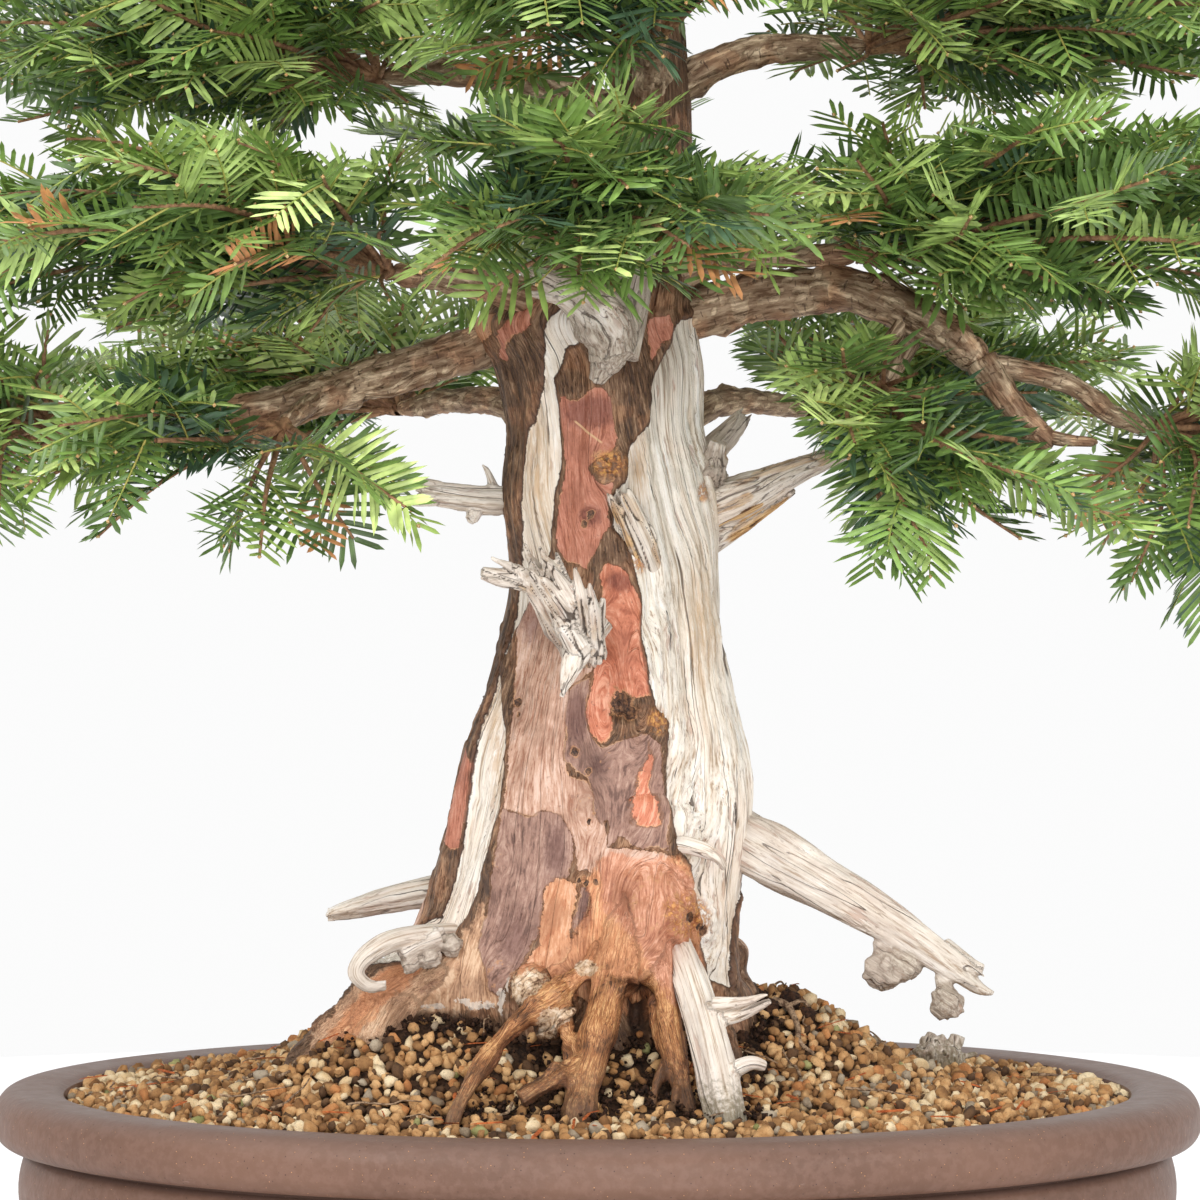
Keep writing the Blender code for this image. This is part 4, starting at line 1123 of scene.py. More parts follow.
def trunk_finish():
    finish, place, shader = new_finish("yew_bark", Specular_IOR_Level=0.4)
    grain = place.noted("grain", "Vector")
    rough = place.noise(420, 3, 0.65)
    clouds = place.noise(42, 4, 0.6)
    fray = (rough - 0.5) * 3.2 + (place.noise(130, 2) - 0.5) * 3.0
    streaks = (grain * (1.0, 1.0, 2.0)).noise(240, 3, 0.65)
    fibre = (grain * (1.0, 1.0, 1.6)).noise(900, 3, 0.7)
    shade = (streaks * 0.26 + fibre * 0.48 + clouds * 0.26 - 0.5) * 1.5 + 0.5
    painted_shade = (place.noted("painted_shade") + (rough - 0.5) * 0.5 + (streaks - 0.5) * 0.6).step(0.25, 0.75)
    brown = streaked(shade, (110, 80, 57), (68, 46, 32), (156, 126, 100))
    rust = clouds.step(0.50, 0.60) * 0.6
    colour = rust.between(brown, streaked(shade, (134, 90, 62), (84, 54, 36), (174, 128, 94)))
    flake = streaks.step(0.45, 0.50)
    colour = (streaks.step(0.42, 0.36) * 0.45).between(colour, tone(52, 36, 27))
    broken = place.noise(70, 2).step(0.50, 0.58)
    height = flake * 0.8 + fibre * 0.5
    for kind, body, dark, light, soft in BARK_PATCHES:
        distance = place.noted(kind) + fray * (1.0 if soft < 2 else 1.8)
        mask = distance.step(soft / 2, -soft / 2)
        patch = streaked(shade, body, dark, light)
        dim = 0.45 if kind == "gold" else 0.84
        patch = (clouds.step(0.52, 0.34) * 0.5).between(patch, tone(*[round(dim * value) for value in body]))
        # Painted shade: the patches are darkened in the shaded spots.
        patch = (painted_shade * 0.95).between(patch, patch * (0.50, 0.42, 0.43))
        if soft < 0.5:
            # Painted shadow: a thin dark line just outside the patch's edge.
            colour = ((distance.step(1.0, 0.4) - mask) * 0.5).between(colour, tone(124, 82, 54))
        colour = mask.between(colour, patch)
        if soft < 0.5:
            rim = (mask - distance.step(-0.3, -0.8)) * broken
            colour = (rim * 0.5).between(colour, tone(206, 160, 116))
        height = height * (1 - mask) + mask * (fibre * 0.35 + (0.5 if kind == "mauve" else 0.1))
    scratch = place.noted("scratch").size().step(0.26, 0.12) * place.noted("scratched").step(0.25, 0.40)
    colour = (scratch * 0.9).between(colour, tone(206, 168, 128))
    freckle = rough.step(0.62, 0.68) * 0.35
    colour = freckle.between(colour, tone(96, 58, 46))
    bare = place.noted("bare") + fray * 0.5
    dead = bare.step(0.15, -0.15)
    wood, ridges, split = bare_wood(grain, place, place.noted("greyed"))
    wood = (place.noted("tanned") * fibre.step(0.30, 0.60) * 0.8).between(wood, tone(204, 172, 138))
    colour = ((bare.step(2.2, 0.8) - dead) * 0.75).between(colour, tone(96, 64, 44))
    colour = dead.between(colour, wood)
    # Partly a real crack and partly painted shadow: a dark line where the bark meets the deadwood.
    gap = bare.step(0.7, 0.1) - bare.step(-0.1, -0.5)
    colour = (gap * 0.8).between(colour, tone(64, 44, 34))
    height = height * (1 - dead) + ridges * dead - split.step(0.006, 0.001) * (1 - dead) * 0.6
    crumbly = place.noted("rust").step(0.25, 0.75) * rough.step(0.36, 0.52)
    colour = (crumbly * 0.8).between(colour, streaked(rough, (158, 98, 52), (70, 42, 30), (218, 160, 88)))
    pits = place.noted("pits") + (rough - 0.5) * 0.9
    colour = ((pits.step(0.34, 0.44) - pits.step(0.5, 0.6)) * 0.6).between(colour, tone(190, 140, 100))
    # Painted shade: the pits are filled with a near-black brown.
    colour = pits.step(0.50, 0.55).between(colour, streaked(rough, (84, 58, 44), (34, 24, 20), (130, 92, 64)))
    cork = (place.noted("cork") + (rough - 0.5) * 0.6).step(0.36, 0.48)
    crumbs = streaked(place.noise(260, 3, 0.7), (206, 176, 144), (110, 80, 58), (236, 216, 192))
    colour = (cork * 0.9).between(colour, crumbs)
    lime = (place.noted("lime") + (rough - 0.5) * 1.8 + (place.noise(150, 2) - 0.5) * 1.6).step(0.50, 0.62)
    colour = (lime * place.noted("lime").step(0.08, 0.3) * 0.62).between(colour, tone(232, 222, 210))
    # Painted shade: the hollows are darkened nearly to black.
    dark = (place.noted("hollow") + (rough - 0.5) * 0.8).step(0.35, 0.95)
    colour = (dark * 0.9).between(colour, streaked(rough, (56, 40, 32), (28, 20, 17), (96, 70, 54)))
    # Darker near the soil: partly soil stain, partly painted shade at the foot.
    soil_stain_and_shade = (place.height() + (rough - 0.5) * 0.06).step(GROUND + 0.040, GROUND + 0.004)
    colour = (soil_stain_and_shade * 0.75).between(colour, tone(84, 62, 46))
    roughness = 0.50 + 0.26 * dead + 0.12 * streaks
    feed(shader, colour, roughness, height + rough * 0.5, 0.0012)
    return finish


piece("trunk_and_roots", trunk_skin, trunk_finish(), ("trunk",))

# %% [markdown]
# ## Deadwood
#
# The bare limbs are what is left of branches that were torn off. A torn branch splits along its grain into long
# splinters of unlike lengths, with deep cracks between them. Each limb here is a core with a bundle of splinters
# round it, grown into one skin, with the fine grain pressed into it along the limb.

# %% The dead limbs: route, radius at the foot, middle and tip, then splinters, splay, flatness, grey and gold
DEADWOOD = {
    "jin_left": (((-30, 0, 318), (-66, -4, 320), (-99, -10, 324)), (11, 8.8, 7.2), 9, 0.25, 1, 0.35, 0.25),
    "jin_front": (
        ((-4, -30, 226), (-10.5, -62, 244), (-21, -88, 264), (-34, -110, 284)), (11, 14.5, 10.5), 16, 0.85,
        0.8, 0.45, 0.4,
    ),
    "jin_right": (
        ((44, 4, 308), (82, -4, 322), (110, -10, 335), (140, -15, 346)), (20, 10.5, 4), 13, 0.45, 0.9, 0.1, 1,
    ),
    "jin_back": (((40, 20, 325), (66, 46, 350), (84, 60, 369)), (13, 9, 6), 9, 0.35, 1, 0.65, 0.35),
    "jin_low": (((-70, 34, 106), (-110, 40, 98.5), (-152, 42, 88)), (11.5, 9.5, 5), 4, 0.05, 1, 0.08, 0.02),
    "dead_limb": (
        ((48, 4, 152), (100, -8, 122), (150, -22, 94), (206, -36, 57)), (25.5, 16.5, 8.5), 9, 0.12, 1, 0.32,
        0.32,
    ),
    "dead_root": (
        ((40, -50, 88), (50, -88, 62), (60, -120, 28), (68, -142, -10)), (8.5, 11.5, 13.5), 7, 0.05, 1, 0.05,
        0.15,
    ),
    "hook": (
        ((-58, -28, 84), (-102, -68, 85), (-121, -78, 77), (-127, -80, 68), (-121, -80, 61), (-111, -78, 61)),
        (8.5, 5.2, 3.4), 4, 0.05, 1, 0.3, 0.05,
    ),
    "jin_top": (
        ((0, -44, 382), (7, -56, 402), (-6, -66, 422), (-44, -76, 441)), (6.5, 19, 3), 15, 0.45, 0.85, 0.9,
        0.1,
    ),
    "splinter": (
        ((31, -30, 272), (23, -47, 296), (10.5, -57, 322.5)), (8.5, 9.5, 7.5), 13, 1, 0.6, 0.3, 0.85,
    ),
    "small_jin": (
        ((34, -48, 130), (46, -62, 134), (62, -67, 129), (68, -63, 121)), (6, 5.2, 2.2), 4, 0.2, 1, 0.05,
        0.05,
    ),
}
DEADWOOD = {name: (in_metres(route), in_metres(radii), *habit) for name, (route, radii, *habit) in DEADWOOD.items()}
ALONE = ("splinter", "small_jin")
LIMB_VOXEL = {"dead_limb": 0.0011, "dead_root": 0.0010}
FINE_VOXEL = 0.0009
LIMB_STEPS = 56
SPLINTER_SIDES = 9
CORE_SIDES = 28


def swelling(radii, places):
    """A limb's radius at shares of its length."""
    return np.interp(places, (0.0, 0.5, 1.0), radii)


def splintered(route, radii, splinters, splay, flat, seed):
    """A core with splinters round it."""
    rng = np.random.default_rng(SEED + seed)
    line = over_rim(smooth_route(route, LIMB_STEPS))
    _, side, up = frames_along(line)
    places = np.linspace(0, 1, LIMB_STEPS)
    size = swelling(radii, places)
    where = on_rings(CORE_SIDES, 1.6 * places + seed) * (2.4, 2.4, 1.0)
    flutes = 1 + 0.20 * noise_at(where, seed).reshape(LIMB_STEPS, CORE_SIDES)
    closing = np.sqrt(np.clip(1 - (places / (1 - 0.12 * splay)) ** 14, 0.02, 1))
    parts = [tube(line, size * (0.80 - 0.10 * splay) * closing, CORE_SIDES, flutes)]
    for number in range(splinters):
        start = rng.uniform(0.0, 0.25)
        end = 1.0 - splay * rng.uniform(0.0, 0.45) ** 1.2 if number % 3 else 1.0
        count = max(int(LIMB_STEPS * (end - start)), 8)
        own = np.linspace(start, end, count)
        angle = 2 * math.pi * (number + rng.uniform(-0.3, 0.3)) / splinters + rng.uniform(-0.35, 0.35) * own
        out = swelling(radii, own) * (rng.uniform(0.50, 0.68) + 0.25 * splay * own**2)
        offset = read_off(own, places, side) * np.cos(angle)[:, None]
        offset += read_off(own, places, up) * (flat * np.sin(angle))[:, None]
        middle = read_off(own, places, line)
        share = (own - start) / (end - start)
        wave = noise_at(np.column_stack([share * 5, np.full((count, 2), number + seed * 3.7)]), 21)
        body = swelling(radii, own) * rng.uniform(0.24, 0.36) * (1 + 0.25 * wave)
        body *= np.sqrt(np.clip(1 - share**8, 0.0, 1)) * smooth_step(share, -0.1, 0.15) + 0.04
        body = np.maximum(body, 0.0007)
        parts.append(tube(middle + out[:, None] * offset, body, SPLINTER_SIDES))
    return parts


print(len(DEADWOOD), "dead limbs")

# %% [markdown]
# Some limbs carry more: torn prongs, round burls on the long dead limb and knobs beside the hook. A burl is a lump
# of many small bumps, here a ball of noise on a short neck.

# %% Prongs, burls and knobs
PRONGS = in_metres({
    "jin_left": (
        (((-86, -8, 326), (-98, -10, 329), (-106, -12, 329.5)), 3.4, 0.8),
        (((-56, -4, 324), (-60, -6, 334), (-63, -8, 338)), 3, 0.7),
        (((-66, -4, 314), (-68, -6, 309.5), (-69, -8, 308)), 4.4, 3.4),
        (((-88, -10, 318), (-98, -11, 316.5), (-103, -12, 316)), 3, 0.7),
    ),
    "jin_front": (
        (((-14, -86, 262), (-36, -102, 273), (-60, -110, 279)), 8.5, 2.6),
        (((-20, -90, 268), (-40, -106, 279), (-55, -112, 286)), 5, 0.9),
        (((-40, -103, 272), (-52, -110, 273), (-61, -113, 275.5)), 3.6, 0.8),
        (((-4, -70, 254), (-12, -78, 234), (-19, -82, 213)), 13.5, 1.2),
        (((-10, -80, 240), (-28, -96, 270), (-38.2, -106, 293.5)), 7.5, 1),
        (((-8, -78, 240), (-22, -98, 270), (-29.9, -110, 291.5)), 6.6, 1.2),
        (((-6, -76, 240), (-15, -96, 268), (-21.6, -106, 289)), 7, 1),
        (((-4, -74, 240), (-8, -94, 262), (-11.7, -104, 281)), 6.8, 1.2),
        (((-2, -72, 238), (-2, -90, 256), (-4, -100, 273)), 6.8, 1),
        (((-1, -66, 234), (0, -82, 248), (3, -92, 265)), 6.6, 1.4),
    ),
    "jin_right": (
        (((60, 10, 296), (84, 6, 309), (108, 0, 324)), 9, 1.6),
        (((62, -10, 330), (64, -14, 342), (66, -16, 350)), 7.5, 5),
        (((100, -6, 334), (122, -10, 344), (136, -13, 352)), 3.8, 0.9),
    ),
    "dead_root": (
        (((58, -104, 47), (74, -108, 49), (90, -110, 56)), 6.8, 1.6),
        (((60, -110, 54), (76, -114, 56), (88, -115, 60)), 4.4, 1),
        (((66, -128, 20), (78, -130, 26), (86.2, -126, 24)), 5, 3),
    ),
    "dead_limb": (
        (((190, -32, 68), (204, -36, 56), (213, -38, 52.5)), 6.6, 1.4),
        (((186, -30, 76), (200, -34, 68), (208, -36, 66)), 7, 2),
        (((108, -12, 104), (118, -18, 98), (128, -22, 93.5)), 2.2, 0.6),
    ),
    "jin_top": (
        (((4, -60, 404), (-14, -70, 421.5), (-37.5, -76, 426)), 9.5, 1.2),
        (((2, -58, 392), (-1, -64, 410), (-18, -72, 423)), 7, 4),
        (((8, -52, 396), (16, -46, 424), (22, -36, 452)), 15, 10),
    ),
    "hook": ((((-86, -58, 84), (-98, -66, 80), (-104, -70, 76)), 7.5, 4.5),),
})
LUMPS = in_metres({
    "dead_limb": (
        ((154, -26, 80), (155, -30, 64), 10.2), ((158, -26, 78), (167, -32, 66), 7.2),
        ((186, -32, 62), (188, -37, 47), 8.8),
    ),
    "hook": (
        ((-86, -58, 80), (-89, -64, 74), 6), ((-92, -60, 82), (-99, -68, 71), 5),
        ((-80, -52, 84), (-78, -56, 80), 6),
    ),
    "jin_right": (((58, -6, 326), (62, -14, 336), 8.5),),
})
LUMP_BUMPS = 0.30


def lump(middle, radius, seed):
    """A burl: a ball with noise pressed into it."""
    builder = bmesh.new()
    bmesh.ops.create_icosphere(builder, subdivisions=4, radius=1.0)
    points = np.array([vert.co for vert in builder.verts])
    faces = np.array([[vert.index for vert in face.verts] for face in builder.faces])
    builder.free()
    bumps = 1 + LUMP_BUMPS * layered_noise(points * 1.9 + seed, 2, seed)
    return points * (radius * bumps)[:, None] + over_rim(middle), faces


def limb_parts(name, seed):
    route, radii, splinters, splay, flat, _, _ = DEADWOOD[name]
    parts = splintered(route, radii, splinters, splay, flat, seed)
    for prong, foot, tip in PRONGS.get(name, ()):
        line = over_rim(smooth_route(prong, 16))
        parts.append(tube(line, np.linspace(foot, tip, 16), 10))
    for number, (seat, middle, radius) in enumerate(LUMPS.get(name, ())):
        parts.append(tube(over_rim(smooth_route((seat, middle), 6)), np.full(6, 0.55 * radius), 10))
        parts.append(lump(middle, radius, number + seed))
    return parts


print(sum(len(prongs) for prongs in PRONGS.values()), "prongs and", sum(map(len, LUMPS.values())), "lumps")

# %% Grain and relief along a limb
LIMB_RIDGE = 0.00055
LIMB_CRACK = 0.0019
LIMB_PULL = 0.05


def carve_limb(name, mesh, seed):
    """Presses the grain in and notes the greyness and the golden heart."""
    route, radii, _, splay, _, grey, gold = DEADWOOD[name]
    points, normals = read_skin(mesh)
    limbs = [(over_rim(smooth_route(route, LIMB_STEPS)), swelling(radii, np.linspace(0, 1, LIMB_STEPS)))]
    for prong, foot, tip in PRONGS.get(name, ()):
        limbs.append((over_rim(smooth_route(prong, 16)), np.linspace(foot, tip, 16)))
    _, number, place = nearest_limb(points, limbs)
    grain = place * (1.0, 1.0, LIMB_PULL) + number[:, None] * (0.01, 0.0, 0.0) + (0.0, 0.0, 0.13 * seed)
    ridges = noise_at(grain * (420, 420, 900), seed + 40)
    torn = min(0.25 + splay, 1.0)
    cracks = smooth_step(-np.abs(noise_at(grain * (230, 230, 150), seed + 41)), -0.06 - 0.07 * torn, -0.02)
    cracks = cracks * torn
    rise = LIMB_RIDGE * torn * ridges - LIMB_CRACK * cracks * smooth_step(ridges, -0.6, 0.6)
    press_skin(mesh, rise)
    below = smooth_step(-normals[:, 2], 0.1, 0.8)
    patchy = 0.4 * layered_noise(points * 60, 3, seed + 42)
    patchy += 0.8 * layered_noise(grain * (170, 170, 260), 2, seed + 44)
    heart = gold * (0.45 + 0.55 * below) * smooth_step(patchy, 0.0, 0.35)
    weather = grey * smooth_step(layered_noise(points * 45, 2, seed + 43), -0.7, 0.0)
    for _, middle, radius in LUMPS.get(name, ()):
        apart = np.linalg.norm(points - over_rim(middle), axis=1)
        weather = np.maximum(weather, 1.1 * smooth_step(-apart, -1.6 * radius, -1.2 * radius))
    note(mesh, grain=grain, heart=heart, weather=weather, deep=cracks)


def limb_finish():
    """Wood as on the trunk, greyer or more golden, with painted shade in its cracks."""
    finish, place, shader = new_finish("dead_wood", Specular_IOR_Level=0.3)
    grain = place.noted("grain", "Vector")
    clouds = place.noise(34, 3, 0.6)
    wood, height, _ = bare_wood(grain, place, place.noted("weather"))
    rough = place.noise(420, 3, 0.65)
    wood = (clouds.step(0.42, 0.60) * 0.30 + 0.18).between(wood, tone(196, 180, 168))
    golden = streaked(grain.noise(520, 3, 0.6), (184, 142, 94), (88, 60, 40), (222, 188, 140))
    wood = place.noted("heart").step(0.15, 0.75).between(wood, golden)
    # Painted shade: the carved cracks are darkened.
    wood = (place.noted("deep").step(0.25, 0.85) * 0.85).between(wood, tone(56, 42, 34))
    # Darker near the soil: partly soil stain, partly painted shade at the foot.
    soil_stain_and_shade = (place.height() + (rough - 0.5) * 0.05).step(GROUND + 0.026, GROUND + 0.004)
    wood = (soil_stain_and_shade * 0.75).between(wood, tone(104, 92, 62))
    feed(shader, wood, 0.72 + 0.18 * rough, height + rough * 0.4, 0.0010)
    return finish


dead_wood = limb_finish()
for seed, name in enumerate(DEADWOOD):
    limb = grow_together(limb_parts(name, seed), LIMB_VOXEL.get(name, FINE_VOXEL), 1)
    carve_limb(name, limb, seed)
    piece(f"bare_{name}", limb, dead_wood, () if name in ALONE else (name,))

# %% [markdown]
# ## Boughs
#
# The lower boughs are set where the photograph shows them. Each other mass of foliage has one bough by rule, which
# leaves the trunk lower than its mass, rises in a shallow arch and stops inside it. All are tapering tubes with many
# rings, so that lumps, flakes and knots can be pressed into them directly.

# %% The plan of the boughs and of the foliage that they carry
BOUGHS = in_metres({
    "bough_left_low": (((-40, 0, 412), (-118, -10, 385), (-203, -40, 362), (-284, -50, 356)), 13.5, 6),
    "bough_left_front": (((-150, -22, 374), (-160, -45, 365), (-166, -62, 358)), 6.2, 4.5),
    "bough_left_mid": (((-20, -24, 424), (-70, -50, 434), (-110, -66, 438)), 10.5, 6),
    "bough_right_low": (
        ((30, 0, 416), (88, -16, 428), (137, -40, 430), (179, -66, 408), (205, -75, 388)), 15, 9,
    ),
    "bough_right_stub": (((203, -74.3, 390.5), (221, -80, 361), (238.5, -85, 344)), 8.8, 7.5),
    "bough_right_out": (((204, -74, 389), (246, -70, 380), (272, -66, 363), (296, -62, 356)), 6.2, 4.8),
    "bough_right_front": (((166, -60, 402), (158, -66, 388), (152, -72, 378)), 6, 4.5),
})
FOLIAGE = in_metres({
    "foliage_left_low_outer": ((-375, -40, 348), (125, 135, 75), "bough_left_low"),
    "foliage_left_low_inner": ((-200, -115, 342), (115, 105, 70), "bough_left_front"),
    "foliage_left_mid": ((-215, -80, 455), (165, 150, 52), "bough_left_mid"),
    "foliage_right_low_outer": ((375, -45, 322), (125, 135, 88), "bough_right_out"),
    "foliage_right_low_inner": ((190, -120, 345), (110, 95, 70), "bough_right_front"),
    "foliage_right_mid": ((235, -70, 470), (165, 150, 55), ""),
    "foliage_front_mid": ((-10, -200, 462), (120, 95, 50), ""),
    "foliage_back_low_left": ((-170, 220, 395), (150, 120, 65), ""),
    "foliage_back_low_right": ((175, 220, 395), (150, 120, 65), ""),
    "foliage_back_mid": ((10, 205, 515), (165, 130, 55), ""),
    "foliage_left_up": ((-215, 10, 570), (155, 140, 52), ""),
    "foliage_right_up": ((235, 20, 590), (150, 140, 52), ""),
    "foliage_front_up": ((30, -165, 570), (135, 105, 50), ""),
    "foliage_left_high": ((-140, -40, 675), (115, 115, 48), ""),
    "foliage_right_high": ((150, -35, 695), (115, 115, 48), ""),
    "foliage_back_high": ((0, 135, 665), (130, 105, 50), ""),
    "foliage_left_top": ((-70, 30, 775), (85, 90, 45), ""),
    "foliage_right_top": ((85, -20, 785), (85, 90, 45), ""),
    "foliage_apex": ((16, -6, 848), (92, 92, 54), ""),
})
APEX = "foliage_apex"
UPPER_CLIMB = 0.22
UPPER_LAST = 0.035
UPPER_ENTRY = 0.72
UPPER_SHORTEST = 0.35
UPPER_ARCH = 0.10
UPPER_FOOT = 0.0105
UPPER_SHARE = 0.62
UPPER_TAPER = 0.55


def rule_bough(middle, reach):
    """Out of the trunk and up in an arch, to where it enters its mass."""
    middle, reach = np.array(middle), np.array(reach)
    start_height = min(middle[2] - UPPER_CLIMB * math.hypot(middle[0], middle[1]), TREE_TIP - UPPER_LAST)
    x, y, _, _ = trunk_section(start_height)
    start = np.array([x[0], y[0], start_height])
    heading = middle - start
    entry = 1 - UPPER_ENTRY / np.linalg.norm(heading / reach)
    end = start + heading * max(entry, UPPER_SHORTEST)
    bend = (start + end) / 2 + np.array([0.0, 0.0, UPPER_ARCH * np.linalg.norm(end - start)])
    return np.array([start, bend, end])


def bough_plan():
    """The named boughs, then one for each other mass."""
    plan = dict(BOUGHS)
    for name, (middle, reach, limb) in FOLIAGE.items():
        if not limb and name != APEX:
            route = rule_bough(middle, reach)
            _, _, half_x, half_y = trunk_section(route[0][2])
            foot = min(UPPER_FOOT, UPPER_SHARE * float(min(half_x[0], half_y[0])))
            plan[name.replace("foliage", "bough")] = (route, foot, UPPER_TAPER * foot)
    return plan


PLAN = bough_plan()
print(len(PLAN), "boughs for", len(FOLIAGE), "masses of foliage")

# %% A bough with lumps, flakes and the knots of old twigs
BOUGH_SIDES = 26
BOUGH_STEP = 0.0026
BOUGH_LUMPS = 0.13
BOUGH_FLAKES = 0.10
BOUGH_RINGS = 0.05
BOUGH_KNOT_GAP = 0.028
BOUGH_EXTRAS = in_metres({
    "bough_left_low": (
        (((-132, -14, 378), (-152, -26, 370), (-176, -36, 357)), 9.5, 5),
        (((-140, -12, 383), (-160, -22, 378), (-180, -30, 371)), 8, 4.6),
        (((-180, -34, 361), (-184, -40, 352), (-186, -42, 345)), 4.6, 3.4),
        (((-90, -10, 389), (-110, -16, 379), (-128, -20, 376)), 7, 3),
    ),
    "bough_right_low": (
        (((168, -60, 418), (148, -70, 394), (128, -74, 388)), 4.6, 3),
        (((150, -48, 432), (164, -56, 420), (172, -60, 410)), 9, 6),
    ),
    "bough_right_stub": ((((230, -82, 352), (244, -88, 348), (262, -92, 346.5)), 4.2, 2.4),),
})


def bough_part(route, foot, tip, seed, knots=True):
    """A limb, the place along its grain and its flakes."""
    rng = np.random.default_rng(SEED + seed)
    length = np.linalg.norm(np.diff(smooth_route(route, 20), axis=0), axis=1).sum()
    steps = max(int(length / BOUGH_STEP), 10)
    share = np.linspace(0, 1, steps)
    along = share * length
    wander = [noise_at(np.column_stack([along * 16, np.full((steps, 2), seed + k)]), 61) for k in range(3)]
    ease = smooth_step(share, 0.0, 0.25) * smooth_step(1 - share, 0.0, 0.15)
    line = over_rim(smooth_route(route, steps)) + 0.22 * foot * ease[:, None] * np.column_stack(wander)
    radii = np.linspace(foot, tip, steps)
    where = on_rings(BOUGH_SIDES, along * 60 + seed * 7.1)
    flakes = smooth_step(layered_noise(where * (3.2, 3.2, 1.6), 2, seed + 5), 0.0, 0.22)
    press = 1 + BOUGH_LUMPS * noise_at(where * (1.1, 1.1, 0.9), seed) + BOUGH_FLAKES * (flakes - 0.5)
    press += BOUGH_RINGS * noise_at(where * (0.8, 0.8, 6.5), seed + 9)
    press = press.reshape(steps, BOUGH_SIDES)
    if knots:
        for place in np.arange(0.03, length - 0.01, BOUGH_KNOT_GAP):
            place += rng.uniform(-0.008, 0.008)
            away = (turns(BOUGH_SIDES) - rng.uniform(0, 2 * math.pi) + math.pi) % (2 * math.pi) - math.pi
            far = np.hypot((along[:, None] - place) / 0.0050, away * radii[:, None] / 0.0045)
            press += rng.uniform(0.2, 0.45) * np.exp(-(far**2))
    close = np.sqrt(np.clip(1 - share**30, 0.05, 1))
    grain = on_rings(BOUGH_SIDES, along + seed * 0.7)
    grain[:, :2] *= np.repeat(radii, BOUGH_SIDES)[:, None]
    return tube(line, radii * close, BOUGH_SIDES, press), grain, flakes


def bough_finish():
    """Young bark: thin reddish flakes, with dark rings round it."""
    finish, place, shader = new_finish("bough_bark", Specular_IOR_Level=0.35)
    grain = place.noted("grain", "Vector")
    streaks = (grain * (1.0, 1.0, 0.22)).noise(330, 4, 0.65)
    body = streaked(streaks, (164, 140, 114), (90, 68, 48), (218, 194, 164))
    ruddy = place.noise(38, 3, 0.6).step(0.48, 0.62) * 0.7
    body = ruddy.between(body, streaked(streaks, (160, 116, 86), (98, 64, 44), (202, 158, 120)))
    flake = place.noted("flake") + (place.noise(500, 3) - 0.5) * 0.8
    body = (flake.step(0.55, 0.2) * 0.5).between(body, tone(104, 74, 52))
    edge = flake.step(0.25, 0.45) - flake.step(0.45, 0.65)
    body = (edge * 0.25).between(body, tone(190, 156, 120))
    rings = (grain * (0.25, 0.25, 1.0)).noise(640, 2).step(0.35, 0.28)
    body = (rings * 0.65).between(body, tone(70, 48, 40))
    height = flake.step(0.2, 0.6) * 0.8 + streaks * 0.4 - rings * 0.7 + place.noise(900, 2) * 0.2
    feed(shader, body, 0.62 + 0.2 * streaks, height, 0.0008)
    return finish


def make_boughs():
    finish = bough_finish()
    for number, (name, limb) in enumerate(PLAN.items()):
        made = [bough_part(*limb, number)]
        for extra, branch in enumerate(BOUGH_EXTRAS.get(name, ())):
            made.append(bough_part(*branch, 50 + 7 * number + extra, False))
        parts, grains, flakes = zip(*made)
        mesh = merged(parts)
        note(mesh, grain=np.vstack(grains), flake=np.concatenate(flakes))
        piece(f"barked_{name}", mesh, finish, (name,))


make_boughs()

# %% [markdown]
# ## Foliage
#
# Each mass of foliage grows by one rule. A stem runs on from the bough's tip through the middle of the mass. Long
# twigs leave the stem for points that are spread evenly over the mass's space. From each twig, shoots leave to the
# left and right in turn, and the strongest of these branch once more. A shoot that would leave its mass's space,
# touch a limb, or cover open sky or a bare bough of the photograph is shortened, and at last left out.

# %% Stems, and the space that each mass keeps to
LEADER_FOOT = 0.0020
LEADER_RISE = 0.7
STEM_TAPER = 0.9
STEM_LEVEL = 0.3
STEM_REACH = 0.55
STEM_RISE = 0.1
STEM_BEND = 0.3
STEM_STRAIGHT = 0.010
STEM_SEATS = 90
SPACE_POWER = 3.2
SPACE_MARGIN = 0.02
LIMB_MARGIN = 0.004
NEEDLE_ROOM = 0.010
UP = np.array([0.0, 0.0, 1.0])
MASSES = list(FOLIAGE)
MIDDLES = np.array([FOLIAGE[name][0] for name in MASSES])
REACHES = np.array([FOLIAGE[name][1] for name in MASSES])
BOX_LOW, BOX_HIGH = np.array(cad_box) + [[NEEDLE_ROOM], [-NEEDLE_ROOM]] - RIM * UP


def unit(vector):
    """Vectors made one long."""
    return vector / np.maximum(np.linalg.norm(vector, axis=-1, keepdims=True), 1e-9)


def stem_of(name):
    """On from the limb's tip, through the mass and towards its far side."""
    middle, reach = (np.array(value) for value in FOLIAGE[name][:2])
    if name == APEX:
        x, y, _, _ = trunk_section(TREE_TIP)
        start = np.array([x[0], y[0], TREE_TIP - STEM_STRAIGHT])
        heading = UP
        foot = LEADER_FOOT
        far = middle + LEADER_RISE * reach[2] * UP
    else:
        route, _, limb_tip = PLAN[FOLIAGE[name][2] or name.replace("foliage", "bough")]
        before, start = smooth_route(route, 12)[-2:]
        heading = unit(start - before)
        foot = STEM_TAPER * limb_tip
        outward = unit((middle - start) * (1.0, 1.0, STEM_LEVEL))
        far = middle + STEM_REACH * outward * np.linalg.norm(reach * outward) + STEM_RISE * reach[2] * UP
    bend = start + heading * STEM_BEND * np.linalg.norm(far - start)
    turn = (bend + (start + far) / 2) / 2
    return smooth_route([start, start + heading * STEM_STRAIGHT, turn, far], STEM_SEATS), foot


